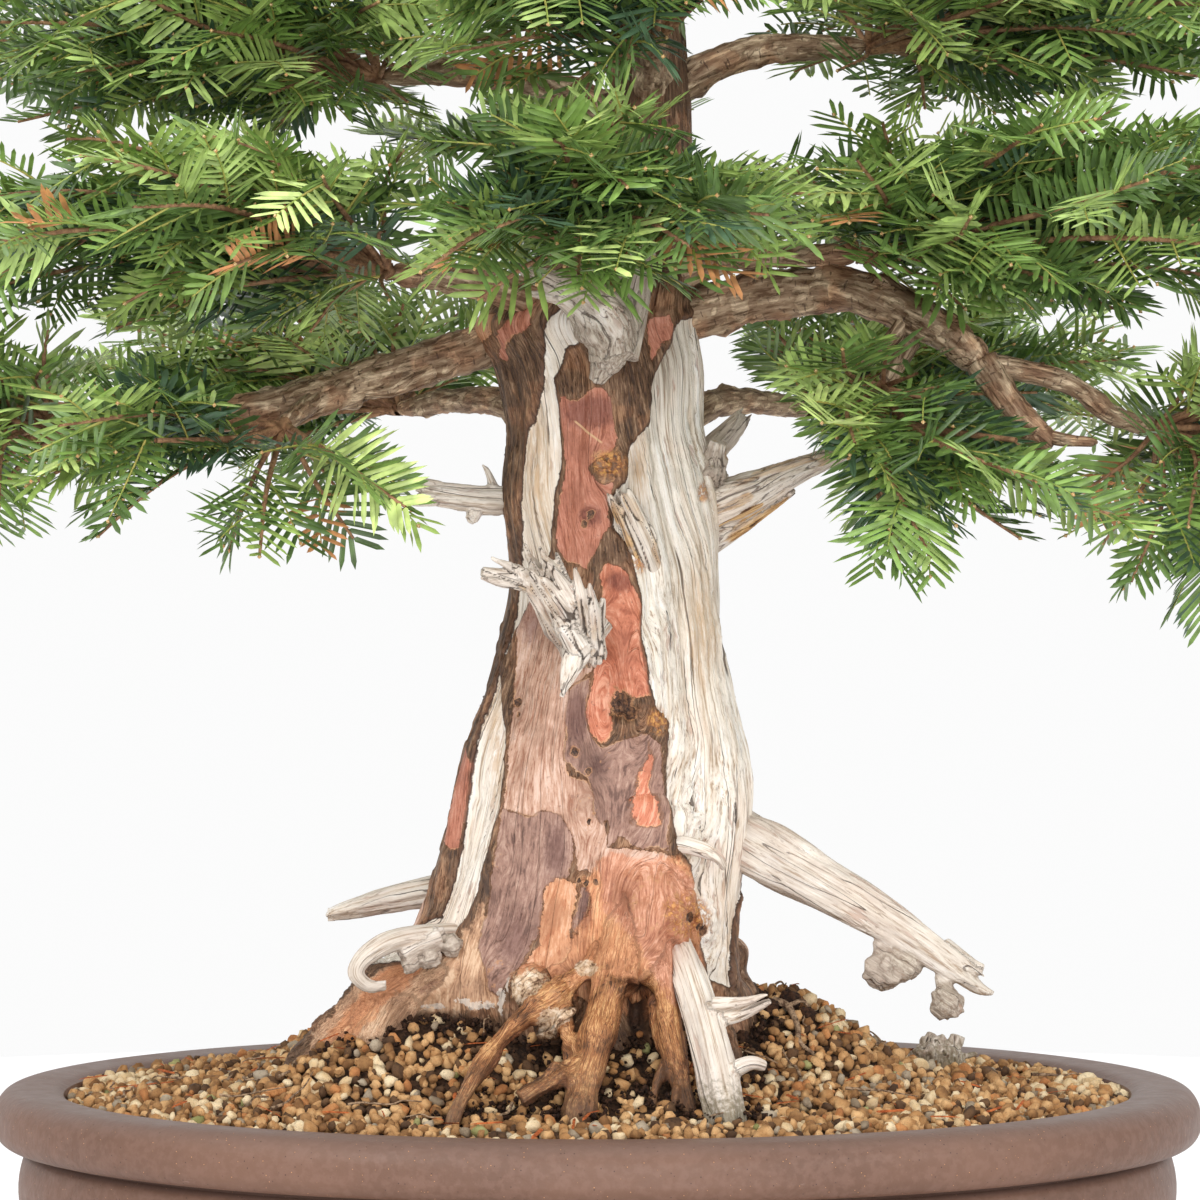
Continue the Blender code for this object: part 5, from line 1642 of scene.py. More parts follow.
def limb_samples():
    """Places with radii on the limbs, which shoots keep clear of."""
    heights = np.linspace(0.0, TREE_TIP, 90)
    x, y, half_x, half_y = trunk_section(heights)
    samples = [np.column_stack([x, y, heights, np.maximum(half_x, half_y)])]
    dead = [(route, radii[0], radii[2]) for route, radii, *_ in DEADWOOD.values()]
    for route, foot, tip in (*PLAN.values(), *dead):
        samples.append(np.column_stack([smooth_route(route, 24), np.linspace(foot, tip, 24)]))
    return np.vstack(samples)


LIMBS = limb_samples()


OPEN_SKY = (
    ((702, 345), (745, 345), (800, 400), (856, 470), (862, 585), (930, 590), (945, 530), (1000, 545), (1090, 545),
     (1165, 660), (1200, 650), (1300, 1200), (700, 1200)),
    ((-100, 555), (70, 535), (130, 566), (180, 530), (290, 580), (330, 545), (370, 565), (415, 552), (430, 520),
     (400, 455), (368, 432), (375, 404), (440, 400), (468, 368), (512, 400), (500, 1200), (-100, 1200)),
)
BOUGHS_SEEN = (
    ((700, 290), (860, 268), (905, 290), (990, 362), (1076, 440), (1050, 468), (965, 402), (868, 332), (700, 330)),
    ((226, 384), (300, 372), (474, 326), (478, 362), (400, 398), (340, 428), (250, 442), (224, 412)),
)
CLEARINGS = np.array((
    (440, 100, 28), (480, 172, 24), (410, 228, 24), (702, 35, 28), (692, 80, 24), (697, 150, 22), (812, 142, 22),
    (735, 318, 24), (322, 150, 26), (150, 122, 22), (36, 146, 28),
), float)


def hides(points):
    """True where a shoot would cover open sky or a bare bough of the photograph."""
    seen = in_photo(over_rim(points))
    if (np.linalg.norm(seen[:, None] - CLEARINGS[:, :2], axis=2) < CLEARINGS[:, 2]).any():
        return True
    if any(edge_distance(seen, outline).min() < 0 for outline in OPEN_SKY):
        return True
    front = seen[points[:, 1] < 0]
    return len(front) > 0 and any(edge_distance(front, outline).min() < 0 for outline in BOUGHS_SEEN)


def fullness(offsets):
    """How far out in a mass's space a place lies: 1 on its squarish skin."""
    return (np.abs(offsets) ** SPACE_POWER).sum(axis=-1) ** (1 / SPACE_POWER)


def fits(own, points):
    """True where a shoot keeps to its own mass's space, clear of all limbs."""
    near = fullness((points[:, None] - MIDDLES) / REACHES)
    if near[:, own].max() > 1 or (points < BOX_LOW).any() or (points > BOX_HIGH).any() or hides(points):
        return False
    others = np.delete(near, own, axis=1)
    if (near[:, own, None] + SPACE_MARGIN > others).any():
        return False
    apart = np.linalg.norm(points[:, None] - LIMBS[None, :, :3], axis=2)
    return bool((apart > LIMBS[None, :, 3] + LIMB_MARGIN).all())


print("the shoots keep clear of", len(LIMBS), "places on the limbs")

# %% [markdown]
# ### How a twig grows
#
# A yew twig leaves its stem at about forty-five degrees, arches up and droops at its end. Its shoots lie nearly in
# one plane, like the barbs of a feather, 25 to 75 millimetres long and one each 20 millimetres or so.

# %% Twigs and shoots
TWIGS_LARGE = 30
TWIGS_SMALL = 22
SMALL_REACH = 0.12
TWIG_FOOT = 0.0021
TWIG_TIP = 0.0008
SHOOT_GAP = 0.0180
SHOOT_LONGEST = 0.072
SHOOT_SHORTEST = 0.020
SHOOT_ANGLE = math.radians(47)
SHOOT_FOOT = 0.00085
SHOOT_TIP = 0.00045
SHOOT_POINTS = 6
TWIG_ROLL = 45
SUB_SHOOT = 0.46
twigs = []
shoots = []


def even_directions(count, turn):
    """Directions spread evenly round a ball."""
    k = np.arange(count) + 0.5
    rise = 1 - 2 * k / count
    around = k * math.pi * (3 - math.sqrt(5)) + turn
    level = np.sqrt(1 - rise**2)
    return np.column_stack([level * np.cos(around), level * np.sin(around), rise])


def shoot_route(foot, heading, side, length, droop):
    """A shoot that starts to the side and bends forward and down."""
    start = unit(heading * math.cos(SHOOT_ANGLE) + side * math.sin(SHOOT_ANGLE))
    t = np.linspace(0, 1, SHOOT_POINTS)[:, None]
    return foot + length * (t * start + 0.16 * t**2 * heading - droop * t**2 * UP)


def grow_shoot(own, rng, foot, heading, side, length, depth):
    """Adds a shoot that fits, shortened if need be, and its side shoots."""
    below = float(np.clip(-(foot[2] - MIDDLES[own, 2]) / REACHES[own, 2], 0, 1))
    droop = rng.uniform(0.02, 0.20) + below * rng.uniform(0.0, 0.5)
    for share in (1.0, 0.78, 0.56):
        if length * share < SHOOT_SHORTEST:
            break
        route = shoot_route(foot, heading, side, length * share, droop)
        if fits(own, route):
            shoots.append((own, route, depth))
            if depth == 0 and length * share > SUB_SHOOT * SHOOT_LONGEST * 1.5:
                forward = unit(route[-1] - route[0])
                for mirror, place in ((1, 2), (-1, 3)):
                    spread = unit(np.cross(forward, UP)) * mirror
                    sub = length * share * SUB_SHOOT * rng.uniform(0.8, 1.15)
                    grow_shoot(own, rng, route[place], forward, spread, sub, 1)
            return


def grow_twig(own, rng, line, target):
    """A long twig from the stem, with its shoots left and right in turn."""
    apart = np.linalg.norm(line - target, axis=1)
    step = np.linalg.norm(line[1] - line[0])
    nearest = int(np.argmin(apart))
    seat = int(np.clip(nearest - 0.5 * apart[nearest] / step, 6, len(line) - 4))
    foot = line[seat]
    forward = unit(line[min(seat + 3, len(line) - 1)] - line[seat - 3])
    span = np.linalg.norm(target - foot)
    bend = (foot + target) / 2 + span * (0.12 * forward + rng.uniform(0.04, 0.15) * UP)
    route = smooth_route([foot, bend, target], 14)
    while len(route) > 5 and not fits(own, route[3:]):
        route = route[:-1]
    if len(route) <= 5:
        return
    length = np.linalg.norm(np.diff(route, axis=0), axis=1).sum()
    twigs.append((route, TWIG_FOOT * (0.7 + 2.2 * length), TWIG_TIP))
    shoots.append((own, route[len(route) // 3:], 2))
    places = np.linspace(0, length, len(route))
    mirror = 1 if rng.random() < 0.5 else -1
    roll = math.radians(rng.uniform(-TWIG_ROLL, TWIG_ROLL))
    below = float(np.clip(-(target[2] - MIDDLES[own, 2]) / REACHES[own, 2] - 0.3, 0, 1))
    gap = SHOOT_GAP * (1 + below)
    for place in np.arange(0.16 * length + rng.uniform(0, 0.01), length - 0.012, gap):
        at = read_off(place, places, route)[0]
        spot = min(int(place / length * (len(route) - 1)), len(route) - 2)
        heading = unit(route[spot + 1] - route[spot])
        level = unit(np.cross(heading, UP) + 1e-6)
        over = np.cross(level, heading)
        side = mirror * (level * math.cos(roll) + over * math.sin(roll)) + rng.uniform(-0.2, 0.3) * UP
        wide = SHOOT_LONGEST * (1 - 0.62 * place / length) * rng.uniform(0.78, 1.15)
        grow_shoot(own, rng, at, heading, unit(side), wide, 0)
        mirror = -mirror


def grow_mass(name):
    own = MASSES.index(name)
    middle, reach = MIDDLES[own], REACHES[own]
    rng = np.random.default_rng(SEED + own)
    line, foot = stem_of(name)
    twigs.append((line[::6], foot, 0.0014))
    count = TWIGS_SMALL if reach[0] < SMALL_REACH else TWIGS_LARGE
    for direction in even_directions(count, rng.uniform(0, 2 * math.pi)):
        target = middle + direction / fullness(direction) * reach * rng.uniform(0.80, 0.97)
        target = np.clip(target, BOX_LOW, BOX_HIGH)
        grow_twig(own, rng, line, target)
    for seat in np.linspace(12, len(line) - 3, 14).astype(int):
        heading = unit(line[min(seat + 2, len(line) - 1)] - line[seat - 2])
        side = unit(np.cross(heading, rng.normal(size=3)))
        grow_shoot(own, rng, line[seat], heading, side, rng.uniform(0.035, 0.060), 3)


for name in MASSES:
    grow_mass(name)
print(len(twigs), "twigs and", len(shoots), "shoots have grown")

# %% [markdown]
# ### Needles
#
# A yew needle is a flat blade about 20 millimetres long, with a short stalk, a pointed tip and a raised midrib, and
# the needles stand in two rows along the shoot, like a comb. Eight points make one, and its tip bends down a little.
#
# All needles of one shoot have one tone: last year's are dark blue-green, this year's fresh green, the newest nearly
# yellow, and a few dried to orange. Shoots inside and under a mass get the darker tones, partly for older needles and
# partly as painted shade. The needles of a tone are one mesh, with a finish of one colour.

# %% Comb-like rows of needles
NEEDLE_LONG = 0.0255
NEEDLE_WIDE = 0.0031
NEEDLE_GAP = 0.0027
COMB_ROLL = 30
NEEDLE_BEND = 0.10
NEEDLE_SHAPE = np.array([
    (0.00, 0.00, 0.0), (0.09, -0.42, 0.0), (0.09, 0.42, 0.0), (0.10, 0.00, 0.2),
    (0.76, -0.44, 0.0), (0.76, 0.44, 0.0), (0.76, 0.00, 0.2), (1.00, 0.00, 0.0),
])
NEEDLE_FACES = (
    np.array([(1, 4, 6, 3), (3, 6, 5, 2)]),
    np.array([(0, 1, 3), (0, 3, 2), (4, 7, 6), (6, 7, 5)]),
)


def blades(feet, aim, over, sizes, widths):
    """Needles as one part: feet, ways they point and face, lengths and widths."""
    flat = unit(np.cross(over, aim))
    over = np.cross(aim, flat)
    long, wide = np.reshape(sizes, (-1, 1)), np.reshape(widths, (-1, 1))
    frames = np.stack([long * aim, wide * flat, wide * over, -NEEDLE_BEND * long * over], axis=1)
    bent = np.column_stack([NEEDLE_SHAPE, NEEDLE_SHAPE[:, 0] ** 2])
    return copies(bent, NEEDLE_FACES, frames, feet)


def comb(route, age, rng):
    """The needles of one shoot, in two rows."""
    places = np.concatenate([[0], np.cumsum(np.linalg.norm(np.diff(route, axis=0), axis=1))])
    along = np.arange(0.010 if age == 2 else 0.004, places[-1], NEEDLE_GAP)
    count = len(along)
    if count < 4:
        return None
    heading = unit(read_off(along, places, unit(np.gradient(route, axis=0))))
    roll = math.radians(rng.normal(0, COMB_ROLL))
    level = unit(np.cross(heading, UP))
    over = np.cross(level, heading)
    level, over = level * math.cos(roll) + over * math.sin(roll), over * math.cos(roll) - level * math.sin(roll)
    mirror = np.where(np.arange(count) % 2, 1.0, -1.0)[:, None]
    share = along / places[-1]
    angle = np.radians(64 - 30 * share**2 + rng.normal(0, 5, count))[:, None]
    lift = rng.choice((0.05, 0.15, 0.45)) + rng.normal(0, 0.09, count)[:, None]
    aim = unit(heading * np.cos(angle) + mirror * level * np.sin(angle) + lift * over)
    over = over + 0.25 * rng.normal(size=(count, 3))
    scale = (1.2 if age in (2, 3) else 1.0) * rng.uniform(0.78, 1.22)
    sizes = NEEDLE_LONG * scale * (0.62 + 0.38 * smooth_step(share, 0.0, 0.22)) * (1 - 0.45 * share**3)
    sizes *= rng.normal(1, 0.06, count)
    feet = over_rim(read_off(along, places, route))
    return blades(feet, aim, over, sizes, np.full(count, NEEDLE_WIDE * math.sqrt(scale)))


print("a needle has", len(NEEDLE_SHAPE), "points")

# %% Tones of the needles, dealt out by shoot
TONES = {
    "deep_blue_green": ((74, 100, 74), 0.30),
    "deep_green": ((80, 106, 54), 0.32),
    "old_green": ((100, 128, 66), 0.34),
    "full_green": ((120, 150, 74), 0.36),
    "fresh_green": ((142, 166, 86), 0.42),
    "light_green": ((162, 186, 106), 0.44),
    "tip_yellow_green": ((188, 208, 124), 0.46),
    "dry_orange": ((204, 142, 92), 0.65),
}
DRY_SHARE = 0.008
INNER_TONE = 0.4
OUTER_TONE = 4.9
AGE_TONES = {1: 0.5, 3: -1.5}


def tone_of(own, route, age, rng):
    """A shoot's tone: darker inside and under its mass, partly as painted shade, lighter at its tips."""
    if rng.random() < DRY_SHARE:
        return "dry_orange"
    out = (route[-1] - MIDDLES[own]) / REACHES[own]
    # Darker inside and under the mass: partly older needles, partly painted shade.
    open_share = float(np.clip(fullness(out) + 0.15 * out[2] - 0.12, 0, 1))
    place = INNER_TONE + (OUTER_TONE - INNER_TONE) * open_share**1.6 + rng.normal(0, 1.15) + AGE_TONES.get(age, 0)
    return list(TONES)[int(np.clip(round(place), 0, 6))]


def needle_finish(name):
    """A waxy blade of one tone, with a faint variation."""
    colour, roughness = TONES[name]
    finish, place, shader = new_finish(f"needles_{name}", Coat_Roughness=0.3, Coat_Weight=0.2)
    faint = place.noise(90, 2)
    shade = [round(0.84 * value) for value in colour]
    bright = [min(round(1.12 * value + 4), 255) for value in colour]
    feed(shader, faint.step(0.3, 0.7).between(tone(*shade), tone(*bright)), roughness + 0.1 * faint)
    return finish


def make_needles():
    rng = np.random.default_rng(SEED + 500)
    combs = {name: [] for name in TONES}
    for own, route, age in shoots:
        row = comb(route, age, rng)
        if row:
            combs[tone_of(own, route, age, rng)].append(row)
    for name, rows in combs.items():
        piece(f"needles_{name}", merged(rows, False), needle_finish(name), MASSES)


make_needles()

# %% [markdown]
# Under the needles runs the wood. The older twigs have thin reddish-brown bark, and the youngest shoots are still
# green. Every second shoot ends in a small bud with cream and orange scales.

# %% Twigs and buds
TWIG_SIDES = 6
SHOOT_SIDES = 3
BUD_SIZE = 0.0013
BUD_EVERY = 2
POINTED = np.array([(1, 0, 0), (0, 1, 0), (-1, 0, 0), (0, -1, 0), (0, 0, 1), (0, 0, -1)], float)
POINTED_FACES = np.array([(0, 1, 4), (1, 2, 4), (2, 3, 4), (3, 0, 4), (1, 0, 5), (2, 1, 5), (3, 2, 5), (0, 3, 5)])


def join_tubes(limbs, sides):
    return merged([tube(route, np.linspace(foot, tip, len(route)), sides)[:2] for route, foot, tip in limbs])


def twig_finish():
    finish, place, shader = new_finish("twig_bark", Specular_IOR_Level=0.35)
    body = place.noise(160, 4, 0.65).step(0.34, 0.66).between(tone(116, 82, 58), tone(172, 132, 98))
    body = (place.noise(600, 2).step(0.58, 0.66) * 0.6).between(body, tone(84, 58, 42))
    feed(shader, body, 0.6 + 0.2 * place.noise(300), place.noise(900, 3), 0.0004)
    return finish


def shoot_finish():
    finish, place, shader = new_finish("green_shoot", Roughness=0.5)
    feed(shader, place.noise(70, 2).step(0.35, 0.65).between(tone(146, 166, 76), tone(182, 170, 92)))
    return finish


def bud_finish():
    finish, place, shader = new_finish("bud_scales", Roughness=0.55)
    scales = place.noise(1400, 2).step(0.42, 0.58)
    feed(shader, scales.between(tone(196, 142, 84), tone(222, 196, 142)), height=scales, relief=0.0003)
    return finish


def make_buds():
    ends = np.array([route[-2:] for _, route, _ in shoots[::BUD_EVERY]])
    heading = unit(ends[:, 1] - ends[:, 0])
    side = unit(np.cross(heading, UP) + 1e-6)
    frames = np.stack([side, np.cross(heading, side), heading], axis=1) * BUD_SIZE
    bud = POINTED * (1, 1, 1.25) + (0, 0, 0.4)
    return merged([copies(bud, (POINTED_FACES,), frames, over_rim(ends[:, 1]))])


old = join_tubes([(over_rim(route), foot, tip) for route, foot, tip in twigs], TWIG_SIDES)
piece("twigs", old, twig_finish(), MASSES)
young = join_tubes([(over_rim(route), SHOOT_FOOT, SHOOT_TIP) for _, route, age in shoots if age != 2], SHOOT_SIDES)
piece("green_shoots", young, shoot_finish(), MASSES)
piece("buds", make_buds(), bud_finish(), MASSES)

# %% [markdown]
# ## Soil
#
# Bonsai soil is a mix of fired clay, pumice and lava in grains of 5 to 9 millimetres. It shows as thousands of small
# stones in tan, brown, cream and grey, banked up under the trunk, where black humus clings between the roots. The
# grains are real: one rounded block is copied, turned, squeezed and chipped by random flat cuts. A dark sheet under
# them closes the gaps: its dark colour is painted shade between the grains.

# %% The soil's surface
SOIL_STEP = 0.0015
SOIL_HEAPS = (
    (0.040, 0.105, 0.030, 0.050, 0.075, 2),
    (0.016, -0.020, 0.020, 0.170, 0.110, 2),
    (0.038, -0.050, 0.000, 0.115, 0.108, 4),
)
SOIL_INSET = 0.0388
EDGE_DROP = 0.0042
SOIL_X = POT_LENGTH / 2 - SOIL_INSET
SOIL_Y = POT_DEPTH / 2 - SOIL_INSET


def soil_height(x, y):
    """Banked up to the trunk, and a little lower at the pot's wall."""
    height = GROUND + SOIL_STEP
    for rise, middle_x, middle_y, wide, deep, power in SOIL_HEAPS:
        height = height + rise * np.exp(-(((x - middle_x) / wide) ** power) - ((y - middle_y) / deep) ** power)
    return height - EDGE_DROP * smooth_step(np.hypot(x / SOIL_X, y / SOIL_Y), 0.92, 1.0)


def on_soil(across, down):
    """The place on the soil that shows at a pixel of the photograph."""
    away = np.linspace(CAMERA_BACK - SOIL_Y, CAMERA_BACK + SOIL_Y, 900)
    x = (across - MIDDLE_PX) * away / FOCAL_PX
    y = away - CAMERA_BACK
    over = CAMERA_HEIGHT - (down - IMAGE_PX / 2) * away / FOCAL_PX - soil_height(x, y)
    inside = np.hypot(x / SOIL_X, y / SOIL_Y) < 0.97
    under = inside & (over < 0)
    first = int(np.argmax(under)) if under.any() else int(np.argmin(np.abs(over) + 9 * ~inside))
    return np.array([x[first], y[first], soil_height(x[first], y[first])])


def random_spot(rng, least, most):
    """A random place, between two shares of the soil's area."""
    angle, share = rng.uniform(0, 2 * math.pi), math.sqrt(rng.uniform(least, most))
    return np.array([share * SOIL_X * math.cos(angle), share * SOIL_Y * math.sin(angle)])


def standing_wood():
    """All wood that stands in the soil, as one search tree."""
    wood = bmesh.new()
    for name in ("trunk_and_roots", "bare_dead_root", "bare_hook", "bare_jin_low"):
        wood.from_mesh(bpy.data.objects[name].data)
    tree = BVHTree.FromBMesh(wood)
    wood.free()
    return tree


WOOD = standing_wood()


def beside_wood(points, reach=0.05):
    """How far each place lies outside the wood, below zero inside."""
    found = np.full(len(points), reach)
    for number, point in enumerate(points.tolist()):
        spot, normal, _, distance = WOOD.find_nearest(point, reach)
        if spot is not None:
            found[number] = math.copysign(distance, (Vector(point) - spot).dot(normal))
    return found


print("the soil is banked up to", round(float(soil_height(0.03, 0.0)) - RIM, 3), "over the rim")

# %% The dark sheet under the grains, painted shade in their gaps
SHEET_RINGS = 90
SHEET_SIDES = 220
SHEET_DEPTH = 0.0042


def earth_finish(name, dark, light):
    finish, place, shader = new_finish(name, Roughness=0.95, Specular_IOR_Level=0.2)
    grit = place.noise(330, 4, 0.7)
    feed(shader, grit.step(0.38, 0.62).between(tone(*dark), tone(*light)), height=grit, relief=0.002)
    return finish


def make_sheet():
    flat = on_rings(SHEET_SIDES, np.linspace(0.0, 1.0, SHEET_RINGS))
    x, y = (flat[:, :2] * flat[:, 2:] * (SOIL_X, SOIL_Y)).T
    rough = layered_noise(np.column_stack([x, y, 0 * x]) * 160, 2, 71) * 0.0016
    points = np.column_stack([x, y, soil_height(x, y) - SHEET_DEPTH + rough])
    return merged([loft(points.reshape(SHEET_RINGS, SHEET_SIDES, 3))[:2]])


# Painted shade: the sheet's dark colour stands for the shade in the gaps between grains.
piece("under_soil", make_sheet(), earth_finish("under_soil", (40, 28, 22), (78, 56, 40)), ("soil",))

# %% Grains in seven kinds
LOWER_GAP = 0.0066
UPPER_GAP = 0.0088
GRAIN_RADIUS = 0.0033
GRAIN_KINDS = {
    "tan": (0.40, (176, 128, 80), (222, 178, 126)),
    "brown": (0.27, (124, 86, 52), (176, 132, 86)),
    "cream": (0.12, (214, 184, 140), (242, 220, 182)),
    "grey": (0.05, (142, 124, 102), (182, 166, 144)),
    "dark": (0.10, (74, 52, 36), (112, 82, 56)),
    "red": (0.05, (168, 110, 66), (208, 146, 92)),
    "mossy": (0.01, (134, 132, 80), (170, 166, 112)),
}
CREAM_SPOTS = ((125, 1080, 0.020), (210, 1104, 0.010), (1105, 1072, 0.022))
GRAIN_CUTS = 9


def block_shape():
    """A cube of 26 points, rounded to a ball."""
    builder = bmesh.new()
    bmesh.ops.create_cube(builder, size=2.0)
    bmesh.ops.subdivide_edges(builder, edges=builder.edges, cuts=1, use_grid_fill=True)
    points = np.array([vert.co for vert in builder.verts])
    builder.verts.index_update()
    quads = np.array([[vert.index for vert in face.verts] for face in builder.faces])
    builder.free()
    return unit(points), quads


def scatter(gap, rng):
    """Places all over the soil, each about a gap apart."""
    rows = np.arange(-SOIL_Y, SOIL_Y, gap * math.sqrt(3) / 2)
    x, y = np.meshgrid(np.arange(-SOIL_X, SOIL_X, gap), rows)
    x = x + (np.arange(len(rows)) % 2)[:, None] * gap / 2
    places = np.column_stack([x.ravel(), y.ravel()]) + rng.normal(0, 0.24 * gap, (x.size, 2))
    return places[np.hypot(places[:, 0] / (SOIL_X - 0.002), places[:, 1] / (SOIL_Y - 0.002)) < 1]


def scattered(shape, faces, rng, middles, radii):
    """Copies of a shape at the places, each turned at random."""
    frames = np.linalg.qr(rng.normal(size=(len(middles), 3, 3)))[0] * radii[:, None, None]
    return merged([copies(shape, (faces,), frames, middles)], False)


def chipped(shape, rng, count):
    """Shapes squeezed and cut by random planes."""
    bodies = shape * (1 + 0.10 * rng.normal(size=(count, len(shape), 1)))
    for _ in range(GRAIN_CUTS):
        normals = unit(rng.normal(size=(count, 3)))
        over = (bodies * normals[:, None]).sum(axis=2) - rng.uniform(0.50, 0.88, (count, 1))
        bodies -= np.maximum(over, 0)[..., None] * normals[:, None]
    return bodies * rng.uniform((0.95, 0.75, 0.65), (1.35, 1.10, 0.95), (count, 3))[:, None]


def grain_finish(kind, dark, light):
    finish, place, shader = new_finish(f"{kind}_grain", Specular_IOR_Level=0.3)
    body = place.noise(75, 3, 0.6).step(0.36, 0.64).between(tone(*dark), tone(*light))
    pores = place.noise(1500, 3, 0.7)
    body = (pores.step(0.44, 0.34) * 0.55).between(body, tone(*[round(0.55 * value) for value in dark]))
    feed(shader, body, 0.78 + 0.15 * pores, pores, 0.0006)
    return finish


def lay_grains():
    rng = np.random.default_rng(SEED + 900)
    shape, quads = block_shape()
    lower, upper = scatter(LOWER_GAP, rng), scatter(UPPER_GAP, rng)
    flat = np.vstack([lower, upper])
    lift = np.repeat((-0.0026, 0.0002), (len(lower), len(upper))) + rng.normal(0, 0.0007, len(flat))
    radii = np.clip(GRAIN_RADIUS * np.exp(rng.normal(0, 0.24, len(flat))), 0.0019, 0.0056)
    middles = np.column_stack([flat, soil_height(*flat.T) + lift])
    kinds = rng.choice(len(GRAIN_KINDS), len(flat), p=[values[0] for values in GRAIN_KINDS.values()])
    for across, down, wide in CREAM_SPOTS:
        near = np.linalg.norm(middles - on_soil(across, down), axis=1) < wide * rng.uniform(0.5, 1.3, len(flat))
        kinds[near] = list(GRAIN_KINDS).index("cream")
        radii[near] *= 1.15
    beside = beside_wood(middles)
    crumbly = (beside < 0.013) & (np.abs(middles[:, 0] + 0.01) < 0.105) & (rng.random(len(flat)) < 0.62)
    kept = (beside > 0.25 * radii) & ~crumbly
    for number, (kind, (_, dark, light)) in enumerate(GRAIN_KINDS.items()):
        chosen = kept & (kinds == number)
        mesh = scattered(chipped(shape, rng, chosen.sum()), quads, rng, middles[chosen], radii[chosen])
        piece(f"{kind}_grains", mesh, grain_finish(kind, dark, light))
    print("grains laid:", kept.sum())


lay_grains()

# %% [markdown]
# Between the roots lie crumbs of black humus. Dry needles and bits of twig have fallen on the grains, a curly
# rootlet shows on the bank at the right, and a small weathered stump stands behind it.

# %% Humus, fallen needles and bits of twig
CRUMB_TRIES = 9000
CRUMB_REACH = 0.016
HUMUS_LUMPS = ((790, 1004, 0.0058), (806, 1019, 0.0050), (770, 1010, 0.0050), (757, 1000, 0.0044), (742, 1040, 0.0040))
FALLEN = ((335, 1055), (400, 1063), (530, 1054), (490, 1050), (487, 1058), (455, 1100), (600, 1118), (590, 1120))
FALLEN_MORE = 90
TWIG_BITS = 34
ROOTLET = ((773, 1006), (788, 1012), (797, 1030), (800, 1048), (814, 1060))


def lay_humus():
    rng = np.random.default_rng(SEED + 910)
    flat = rng.uniform((-0.150, -0.150), (0.110, 0.110), (CRUMB_TRIES, 2))
    middles = np.column_stack([flat, soil_height(*flat.T) + rng.uniform(-0.0035, 0.0022, CRUMB_TRIES)])
    beside = beside_wood(middles)
    kept = (beside > 0.0002) & (beside < CRUMB_REACH * rng.random(CRUMB_TRIES) ** 0.5)
    bodies = POINTED * (1 + 0.25 * rng.normal(size=(kept.sum(), 6, 1)))
    radii = rng.uniform(0.0006, 0.0021, kept.sum())
    finish = earth_finish("humus", (34, 24, 20), (74, 50, 36))
    piece("humus", scattered(bodies, POINTED_FACES, rng, middles[kept], radii), finish)
    parts = []
    for number, (across, down, radius) in enumerate(HUMUS_LUMPS):
        parts.append(lump(on_soil(across, down) - (RIM - 0.3 * radius) * UP, radius, number + 80))
    mesh = grow_together(parts, 0.0008, 1)
    press_skin(mesh, 0.0007 * layered_noise(read_skin(mesh)[0] * 400, 2, 77))
    piece("humus_lumps", mesh, finish)


def lay_needles():
    rng = np.random.default_rng(SEED + 920)
    spots = [on_soil(across, down) for across, down in FALLEN]
    for _ in range(FALLEN_MORE):
        spot = random_spot(rng, 0.02, 0.9)
        spots.append(np.append(spot, soil_height(*spot)))
    count = len(spots)
    aim = unit(np.column_stack([rng.normal(size=(count, 2)), rng.normal(0, 0.12, count)]))
    over = UP + 0.3 * rng.normal(size=(count, 3))
    sizes, widths = rng.uniform(0.013, 0.023, count), rng.uniform(0.0017, 0.0025, count)
    mesh = merged([blades(np.array(spots) + 0.0036 * UP, aim, over, sizes, widths)], False)
    piece("fallen_needles", mesh, earth_finish("dry_needle", (150, 74, 38), (206, 116, 66)))


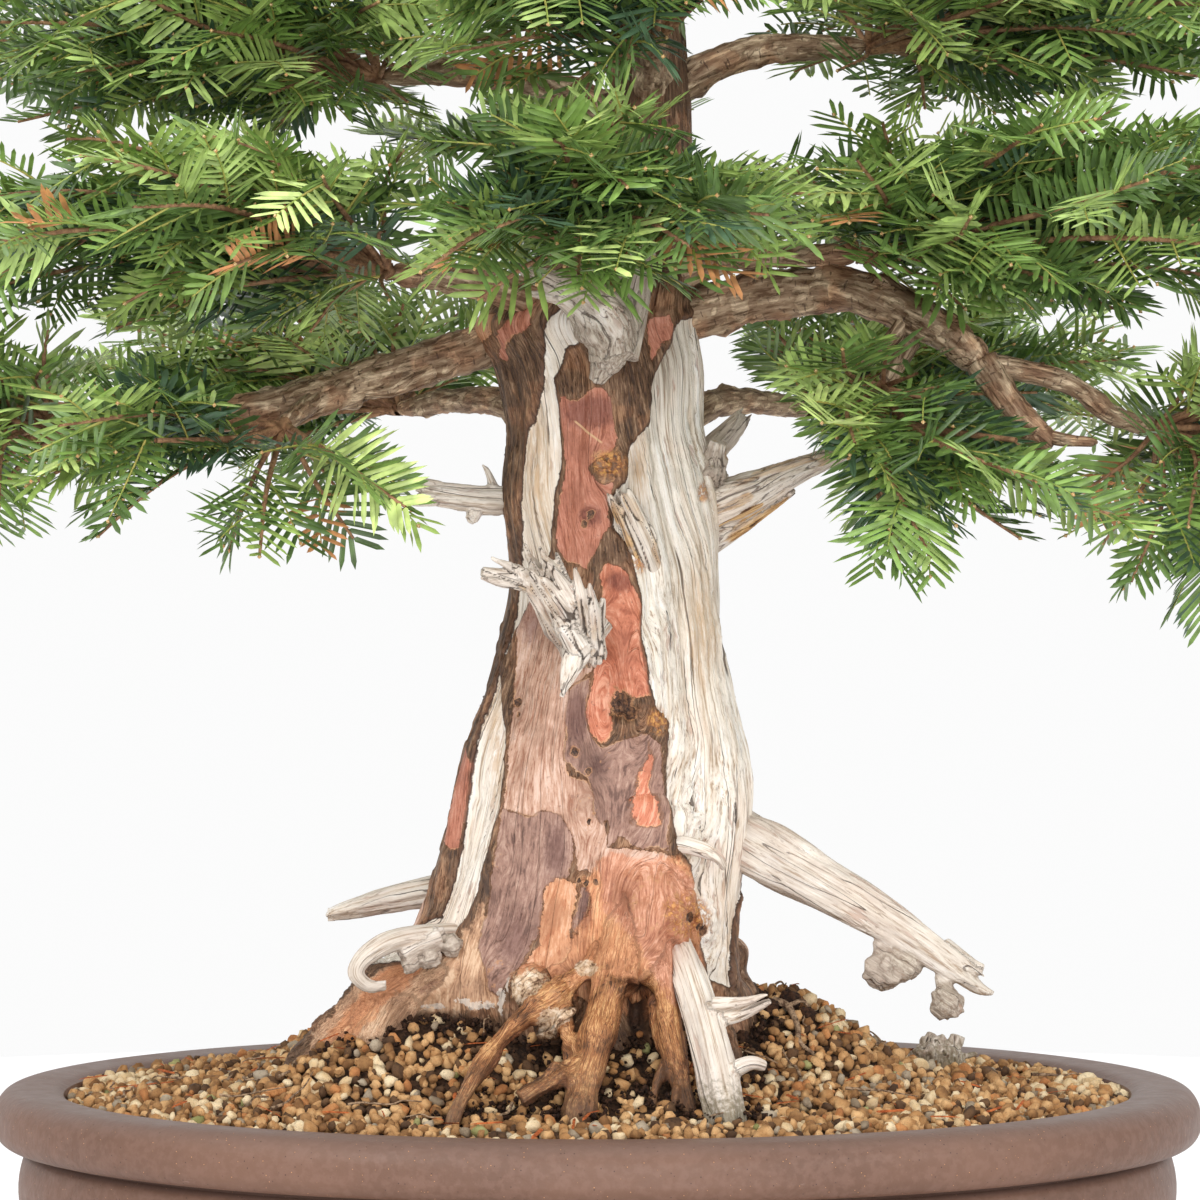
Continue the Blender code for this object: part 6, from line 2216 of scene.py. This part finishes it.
def lay_twigs():
    rng = np.random.default_rng(SEED + 930)
    limbs = []
    for _ in range(TWIG_BITS):
        middle, heading, length = random_spot(rng, 0.05, 0.85), rng.uniform(0, 2 * math.pi), rng.uniform(0.008, 0.022)
        flat = middle + np.linspace(-1, 1, 5)[:, None] * length * (math.cos(heading), math.sin(heading))
        flat += rng.normal(0, 0.0012, (5, 2))
        line = np.column_stack([flat, soil_height(*flat.T) + 0.0034 + rng.normal(0, 0.0008, 5)])
        limbs.append((smooth_route(line, 12), rng.uniform(0.0005, 0.0010), 0.0003))
    rootlet = [on_soil(*spot) + 0.003 * UP for spot in ROOTLET]
    side = [rootlet[1], rootlet[1] + (0.008, 0.002, 0.003), rootlet[1] + (0.012, 0.0, -0.002)]
    limbs += [(smooth_route(rootlet, 30), 0.0024, 0.0009), (smooth_route(side, 12), 0.0016, 0.0006)]
    finish = earth_finish("dry_twig", (92, 70, 54), (176, 148, 120))
    piece("soil_twigs", join_tubes(limbs, 7), finish)


lay_humus()
lay_needles()
lay_twigs()

# %% The small weathered stump
STUMP_SPOT = (936, 1064)
STUMP_LUMPS = in_metres((((0, 0, 4), 11.5), ((-10, 2, 1), 7), ((8, -2, 1), 8.5)))
STUMP_SPURS = in_metres((
    ((8, 0, 8), (10.5, -1, 17), 3, 2.2), ((11, 0, 8), (15, -1, 15.5), 2.6, 1.8), ((12, -2, 4), (23, -3, 6), 2.4, 1),
))


def make_stump():
    foot = on_soil(*STUMP_SPOT)
    parts = [lump(foot + middle - RIM * UP, radius, 90 + k) for k, (middle, radius) in enumerate(STUMP_LUMPS)]
    for start, end, wide, narrow in STUMP_SPURS:
        parts.append(tube(smooth_route([foot + start, foot + end], 8), np.linspace(wide, narrow, 8), 10))
    mesh = grow_together(parts, 0.0007, 1)
    points, _ = read_skin(mesh)
    ridges = noise_at(points * (420, 420, 160), 93)
    press_skin(mesh, 0.0007 * ridges)
    note(mesh, grain=points * (1, 1, 0.3), heart=np.full(len(points), 0.1))
    # The stump's grooves are noted as deep, which the finish darkens as painted shade.
    note(mesh, weather=smooth_step(ridges, -0.4, 0.4), deep=smooth_step(-ridges, 0.2, 0.7))
    piece("old_stump", mesh, dead_wood)


make_stump()
